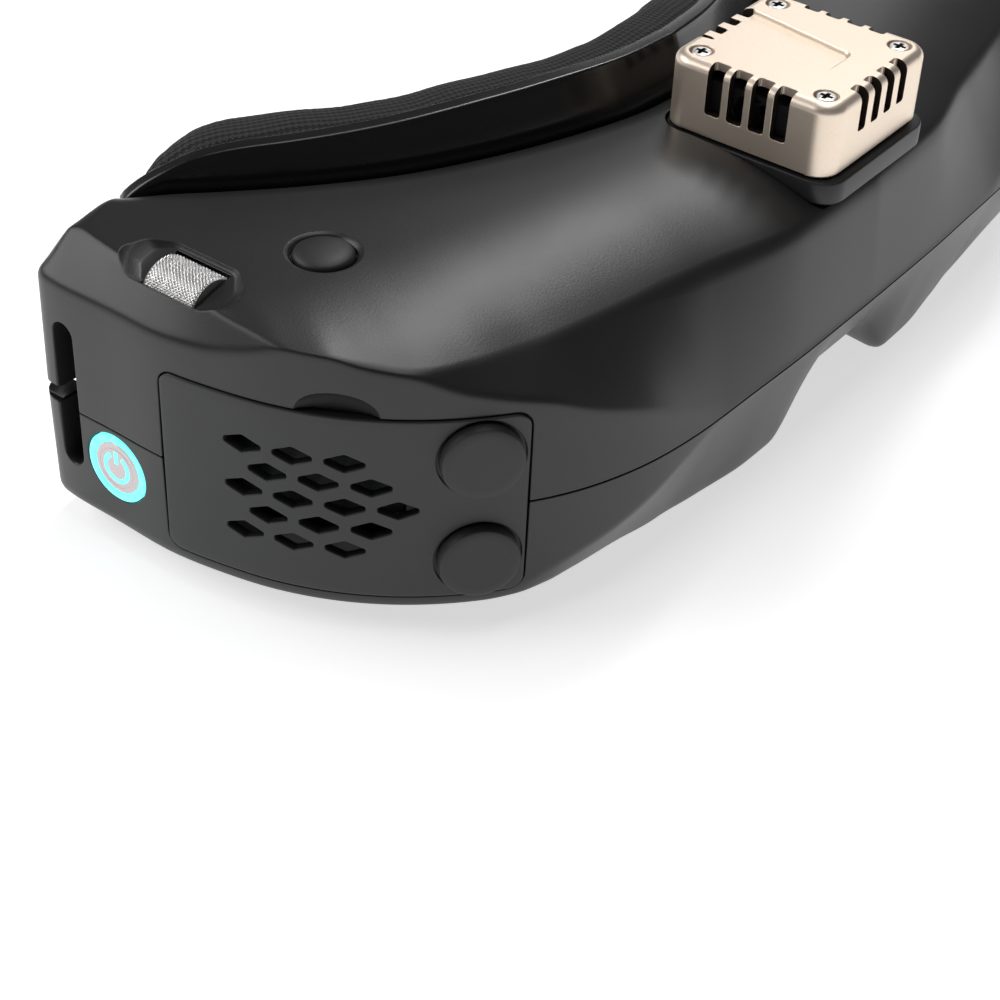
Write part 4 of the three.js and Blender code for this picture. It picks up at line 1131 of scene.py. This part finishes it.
def barrel_form(side):
    """The eyepiece's tube, open at the back, with its two sliding blocks."""
    x, z, radius, front, back = (EYE[k] for k in ("x", "z", "radius", "front", "back"))
    profile = [(0, front), (radius - 0.5, front), (radius, front + 0.5), (radius, back - 0.4),
               (radius - 0.4, back), (radius - 1.1, back), (radius - 1.4, back - 0.3),
               (radius - 1.4, front + 1.2), (0, front + 1.2)]
    barrel = make(f"{side}_barrel_form", along("y", lathe(profile, 128), x, 0, z))
    cut(barrel, block(x - 10.5, x + 10.5, front - 1, front + 3, z - 8, z + 8))
    for height, reach in zip(RAIL_HEIGHTS, (1, -1)):
        rail = block(x - 4.5, x + 4.5, RAIL_Y - 2, RAIL_Y + 2, height - 2.4, height + 2.4, 0.4)
        boolean(barrel, rail, "UNION")
    cut(barrel, along("y", cylinder(radius - 1.4, front + 1.2, back + 1, 128), x, 0, z))
    bores = [along("x", cylinder(1.3, x - 12, x + 12, 32), 0, RAIL_Y, h) for h in RAIL_HEIGHTS]
    return cut(barrel, *bores)


def cell_form():
    x, z, radius, back = (EYE[k] for k in ("x", "z", "radius", "back"))
    low, high = back - 8.4, back - 1.2
    profile = [(radius - 3, low), (radius - 2, low), (radius - 1.8, low + 0.2)]
    for groove in np.arange(low + 1.2, high - 1, 0.9):
        profile += [(radius - 1.8, groove), (radius - 2.05, groove + 0.25),
                    (radius - 1.8, groove + 0.5)]
    profile += [(radius - 1.8, high - 0.3), (radius - 2.1, high), (radius - 3, high - 0.6)]
    return along("y", lathe(profile, 128), x, 0, z)


def lens_form():
    x, z, radius, back = (EYE[k] for k in ("x", "z", "radius", "back"))
    r = radius - 3.3
    front = [(r * t, -2.6 + 2.8 * t * t) for t in np.linspace(0, 1, 14)]
    rear = [(r * t, 3.2 - 1.6 * t * t) for t in np.linspace(1, 0, 14)]
    return along("y", shifted(lathe([*front, *rear], 96), 0, 0, back - 5.4), x, 0, z)


def ring_form():
    """Ribbed focus ring."""
    x, z, radius, back = (EYE[k] for k in ("x", "z", "radius", "back"))
    low, high, steps = back + 0.4, back + 4.4, 288
    rings = []
    for i in range(steps):
        angle = 2 * np.pi * i / steps
        rib = 0.5 + 0.5 * math.cos(48 * angle)
        grip = radius - 0.55 * (1 - rib**0.6)
        flat = [(radius - 3.4, low), (radius - 0.9, low), (radius - 0.6, low + 0.3),
                (grip, low + 0.6), (grip, high - 0.6), (radius - 0.6, high - 0.25),
                (radius - 1.0, high), (radius - 2.4, high), (radius - 3.1, high - 0.35),
                (radius - 3.4, high - 1.2)]
        rings.append([(r * math.cos(angle), y, r * math.sin(angle)) for r, y in flat])
    return shifted(loft(rings, "loop"), x, 0, z)


def knob_form():
    """The slider under each eye: a stem and a ribbed pad."""
    x = EYE["x"]
    stem = block(x - 1.6, x + 1.6, 1.6, 4.4, 1.5, RAIL_HEIGHTS[0] - 2.7, 0.2)
    ribs = []
    for i in range(15):
        across = x - 3.5 + i * 0.5
        ribs.append((across, 0.42 if i % 2 else 0.75))
    outline = [(x - 3.6, 1.7), (x - 3.6, 0.6), *ribs, (x + 3.6, 0.6), (x + 3.6, 1.7)]
    pad = loft([[(a, y, z) for a, z in outline] for y in (0.7, 5.3)])
    return merged(stem, pad)


def case_screw_form(x, y):
    profile = [(0, 12), (0.9, 12), (0.9, 1.6), (1.6, 1.55), (1.6, 0.6), (1.3, 0.34), (0, 0.3)]
    return shifted(lathe(profile, 40), x, y)


def mirror_object(obj):
    obj.data.transform(Matrix.Scale(-1, 4, (1, 0, 0)))
    obj.data.flip_normals()


for side in ("right", "left"):
    flip = mirrored if side == "right" else (lambda form: form)
    cover_piece = build_cover()
    cover_piece.name = f"{side}_cover_form"
    if side == "right":
        mirror_object(cover_piece)
    piece(cover_piece, "chassis", "cover", COVER_FINISH.material, f"{side}_side_cover", angle=28)
    for level, height in zip(("lower", "upper"), PLUG_HEIGHTS):
        plug = make(f"{side}_{level}_plug_form", flip(plug_form(height)))
        piece(plug, "chassis", "rubber", RUBBER.material, f"{side}_{level}_antenna_plug")
    wheel = make(f"{side}_wheel_form", flip(knurled_wheel()))
    piece(wheel, f"{side}_wheel", "steel", KNURL.material, f"{side}_scroll_wheel", angle=12)
    key = make(f"{side}_key_form", flip(key_form()))
    piece(key, f"{side}_button", "rubber", RUBBER.material, f"{side}_top_button")
    barrel_piece = barrel_form(side)
    if side == "right":
        mirror_object(barrel_piece)
    piece(barrel_piece, f"{side}_eyepiece", "black", BLACK.material, f"{side}_eyepiece_barrel")
    cell = make(f"{side}_cell_form", flip(cell_form()))
    piece(cell, f"{side}_optic", "black", BLACK.material, f"{side}_lens_cell")
    lens_piece = make(f"{side}_lens_form", flip(lens_form()))
    piece(lens_piece, f"{side}_optic", "glass", GLASS.material, f"{side}_lens", angle=50)
    ring = make(f"{side}_ring_form", flip(ring_form()))
    piece(ring, f"{side}_ring", "rubber", RUBBER.material, f"{side}_focus_ring", angle=40)
    knob = make(f"{side}_knob_form", flip(knob_form()))
    piece(knob, f"{side}_eyepiece", "rubber", RUBBER.material, f"{side}_ipd_knob")

for index, (x, y, _) in enumerate(CASE_SCREWS, 1):
    screw_piece = make(f"case_screw_form_{index}", case_screw_form(x, y))
    cut(screw_piece, *cross_slot(0.24, 1.0, 0.9, 0.2, x, y))
    piece(screw_piece, "chassis", "steel", STEEL.material, f"case_screw_{index}")


# ---------- power key on the right end, sockets on the left end ----------
def arc_band(inner, outer, start, end, low, high, steps=64):
    """A flat band bent round part of a circle, standing up from low to high along x."""
    rings = []
    for a in np.radians(np.linspace(start, end, steps)):
        rings.append([(x, r * math.cos(a), r * math.sin(a))
                      for x, r in ((low, inner), (low, outer), (high, outer), (high, inner))])
    return loft(rings)


def power_mark():
    """The ordinary on/off sign: a broken ring and a short bar."""
    band = arc_band(1.75, 2.45, 118, 422, 96.9, 97.04)
    bar = block(96.9, 97.04, -0.35, 0.35, 0.7, 2.75)
    return shifted(merged(band, bar), 0, POWER_Y, POWER_Z)


ring_profile = [(POWER_CAP + 0.2, 95.2), (POWER_RING, 95.2), (POWER_RING, 96.95),
                (POWER_RING - 0.15, 97.08), (POWER_CAP + 0.35, 97.08), (POWER_CAP + 0.2, 96.95)]
halo = make("power_ring_form",
            mirrored(along("x", lathe(ring_profile, 96), 0, POWER_Y, POWER_Z)))
piece(halo, "chassis", "light", GLOW.material, "power_light_ring")
cap_profile = [(0, 94), (POWER_CAP, 94), (POWER_CAP, 96.85), (POWER_CAP - 0.15, 96.98),
               (3.3, 97.0), (3.2, 96.93), (3.05, 96.93), (2.95, 97.0), (0, 97.0)]
cap_piece = make("power_cap_form",
                 mirrored(along("x", lathe(cap_profile, 96), 0, POWER_Y, POWER_Z)))
piece(cap_piece, "power_key", "cap", CAP.material, "power_button")
mark = make("power_mark_form", mirrored(power_mark()))
piece(mark, "power_key", "light", GLOW.material)


def build_power_jack():
    body = make("power_jack_form", block(91, 97, 39, 47, 8, 16))
    cut(body, along("x", lathe([(0, 92.5), (2.9, 92.5), (2.9, 96.6), (3.2, 97.2), (0, 98)], 64),
                    0, SOCKET_Y, JACK_Z))
    pin = along("x", lathe([(0, 92), (0.8, 92), (0.8, 95.6), (0.5, 96.2), (0, 96.4)], 32),
                0, SOCKET_Y, JACK_Z)
    return boolean(body, pin, "UNION")


def build_video_port():
    """A flat video socket: a stepped mouth with a tongue inside."""
    body = make("video_port_form", block(91, 97, 37.7, 48.3, 25.5, 30.5))
    mouth = [(-4.4, 1.6), (-4.4, -0.5), (-3.4, -1.6), (3.4, -1.6), (4.4, -0.5), (4.4, 1.6)]
    rings = [[(x, SOCKET_Y + a * grow, PORT_Z + b * grow) for a, b in mouth]
             for x, grow in ((92.2, 1.0), (96.6, 1.0), (97.6, 1.12))]
    cut(body, loft(rings))
    return boolean(body, block(92, 96.2, 39.6, 46.4, 27.7, 28.4), "UNION")


piece(build_power_jack(), "chassis", "black", BLACK.material, "power_jack")
piece(build_video_port(), "chassis", "black", BLACK.material, "video_port")


# ---------- CAD nodes that keep their shape ----------
KEPT = [
    (BLACK, ("fan_frame", "right_wheel_carrier", "left_wheel_carrier")),
    (STEEL, ("upper_guide_rod", "right_lower_guide_rod", "left_lower_guide_rod")),
    (BOARD, ("main_board", "right_receiver_board", "left_receiver_board")),
    (BRASS, [f"{s}_{level}_antenna_socket" for s in ("right", "left")
             for level in ("lower", "upper")]),
    (SCREEN, ("right_display", "left_display")),
]
for finish, names in KEPT:
    for name in names:
        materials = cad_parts[name].data.materials
        materials.clear()
        materials.append(finish.material)


# ---------- camera and light ----------
def build_camera():
    azimuth, elevation, roll = (math.radians(a) for a in (-54.1893, 38.0082, 2.7769))
    back = Vector((math.sin(azimuth) * math.cos(elevation),
                   -math.cos(azimuth) * math.cos(elevation), math.sin(elevation)))
    right = (-back).cross(Vector((0, 0, 1))).normalized()
    up = right.cross(-back)
    x_axis = right * math.cos(roll) + up * math.sin(roll)
    y_axis = up * math.cos(roll) - right * math.sin(roll)
    matrix = Matrix((x_axis, y_axis, back)).transposed().to_4x4()
    matrix.translation = Vector((-0.25503, -0.156235, 0.193828))
    lens = bpy.data.cameras.new("photo_camera")
    lens.lens, lens.sensor_width, lens.clip_start = 77.4, 36, 0.01
    camera = bpy.data.objects.new("photo_camera", lens)
    camera.matrix_world = matrix
    bpy.context.collection.objects.link(camera)
    bpy.context.scene.camera = camera


def softbox(name, direction, distance, width, height, radiance):
    """A rectangular lamp that faces the object, given by its own brightness."""
    lamp = bpy.data.lights.new(name, "AREA")
    lamp.shape, lamp.size, lamp.size_y = "RECTANGLE", width, height
    lamp.energy = radiance * width * height * math.pi
    obj = bpy.data.objects.new(name, lamp)
    away = Vector(direction).normalized()
    obj.matrix_world = Matrix.Translation(away * distance) @ away.to_track_quat(
        "Z", "Y").to_matrix().to_4x4()
    obj.visible_camera = False
    bpy.context.collection.objects.link(obj)


def build_studio():
    steps = np.linspace(-4, 4, 9)
    grid = [(x, y) for y in steps for x in steps]
    faces = [(i, i + 1, i + 10, i + 9) for r in range(8) for i in range(r * 9, r * 9 + 8)]
    mesh = bpy.data.meshes.new("floor")
    mesh.from_pydata([(x, y, -0.0002) for x, y in grid], [], faces)
    floor = bpy.data.objects.new("floor", mesh)
    bpy.context.collection.objects.link(floor)
    f = Finish("pale_floor", Roughness=0.7, Emission_Strength=0.62)
    f.colours(f.noise(0.4, 2), (0.86, 0.86, 0.86), (0.9, 0.9, 0.9))
    f.shader.inputs["Emission Color"].default_value = (1, 1, 1, 1)
    f.shader.inputs["Specular IOR Level"].default_value = 0.2
    mesh.materials.append(f.material)
    softbox("high_key", (0.545, 0.22, 0.81), 1.2, 0.22, 0.46, 11.8)
    softbox("side_strip", (0.85, 0.43, 0.3), 1.3, 0.4, 0.35, 1.6)
    softbox("rear_fill", (-0.4, 0.72, 0.57), 1.4, 1.2, 0.7, 3.4)
    softbox("overhead", (0.1, 0.0, 1), 1.4, 0.7, 0.7, 2.4)
    softbox("front_card", (0.9, -0.43, 0.04), 1.4, 0.7, 0.3, 1.5)
    world = bpy.data.worlds.new("studio")
    world.use_nodes = True
    tree = world.node_tree
    background = tree.nodes["Background"]
    path = tree.nodes.new("ShaderNodeLightPath")
    mix = tree.nodes.new("ShaderNodeMix")
    mix.data_type = "RGBA"
    mix.inputs["A"].default_value = (0.09, 0.09, 0.093, 1)
    mix.inputs["B"].default_value = (0.97, 0.97, 0.97, 1)
    tree.links.new(path.outputs["Is Camera Ray"], mix.inputs["Factor"])
    tree.links.new(mix.outputs["Result"], background.inputs["Color"])
    bpy.context.scene.world = world
    bpy.context.scene.view_settings.view_transform = "Standard"


build_camera()
build_studio()
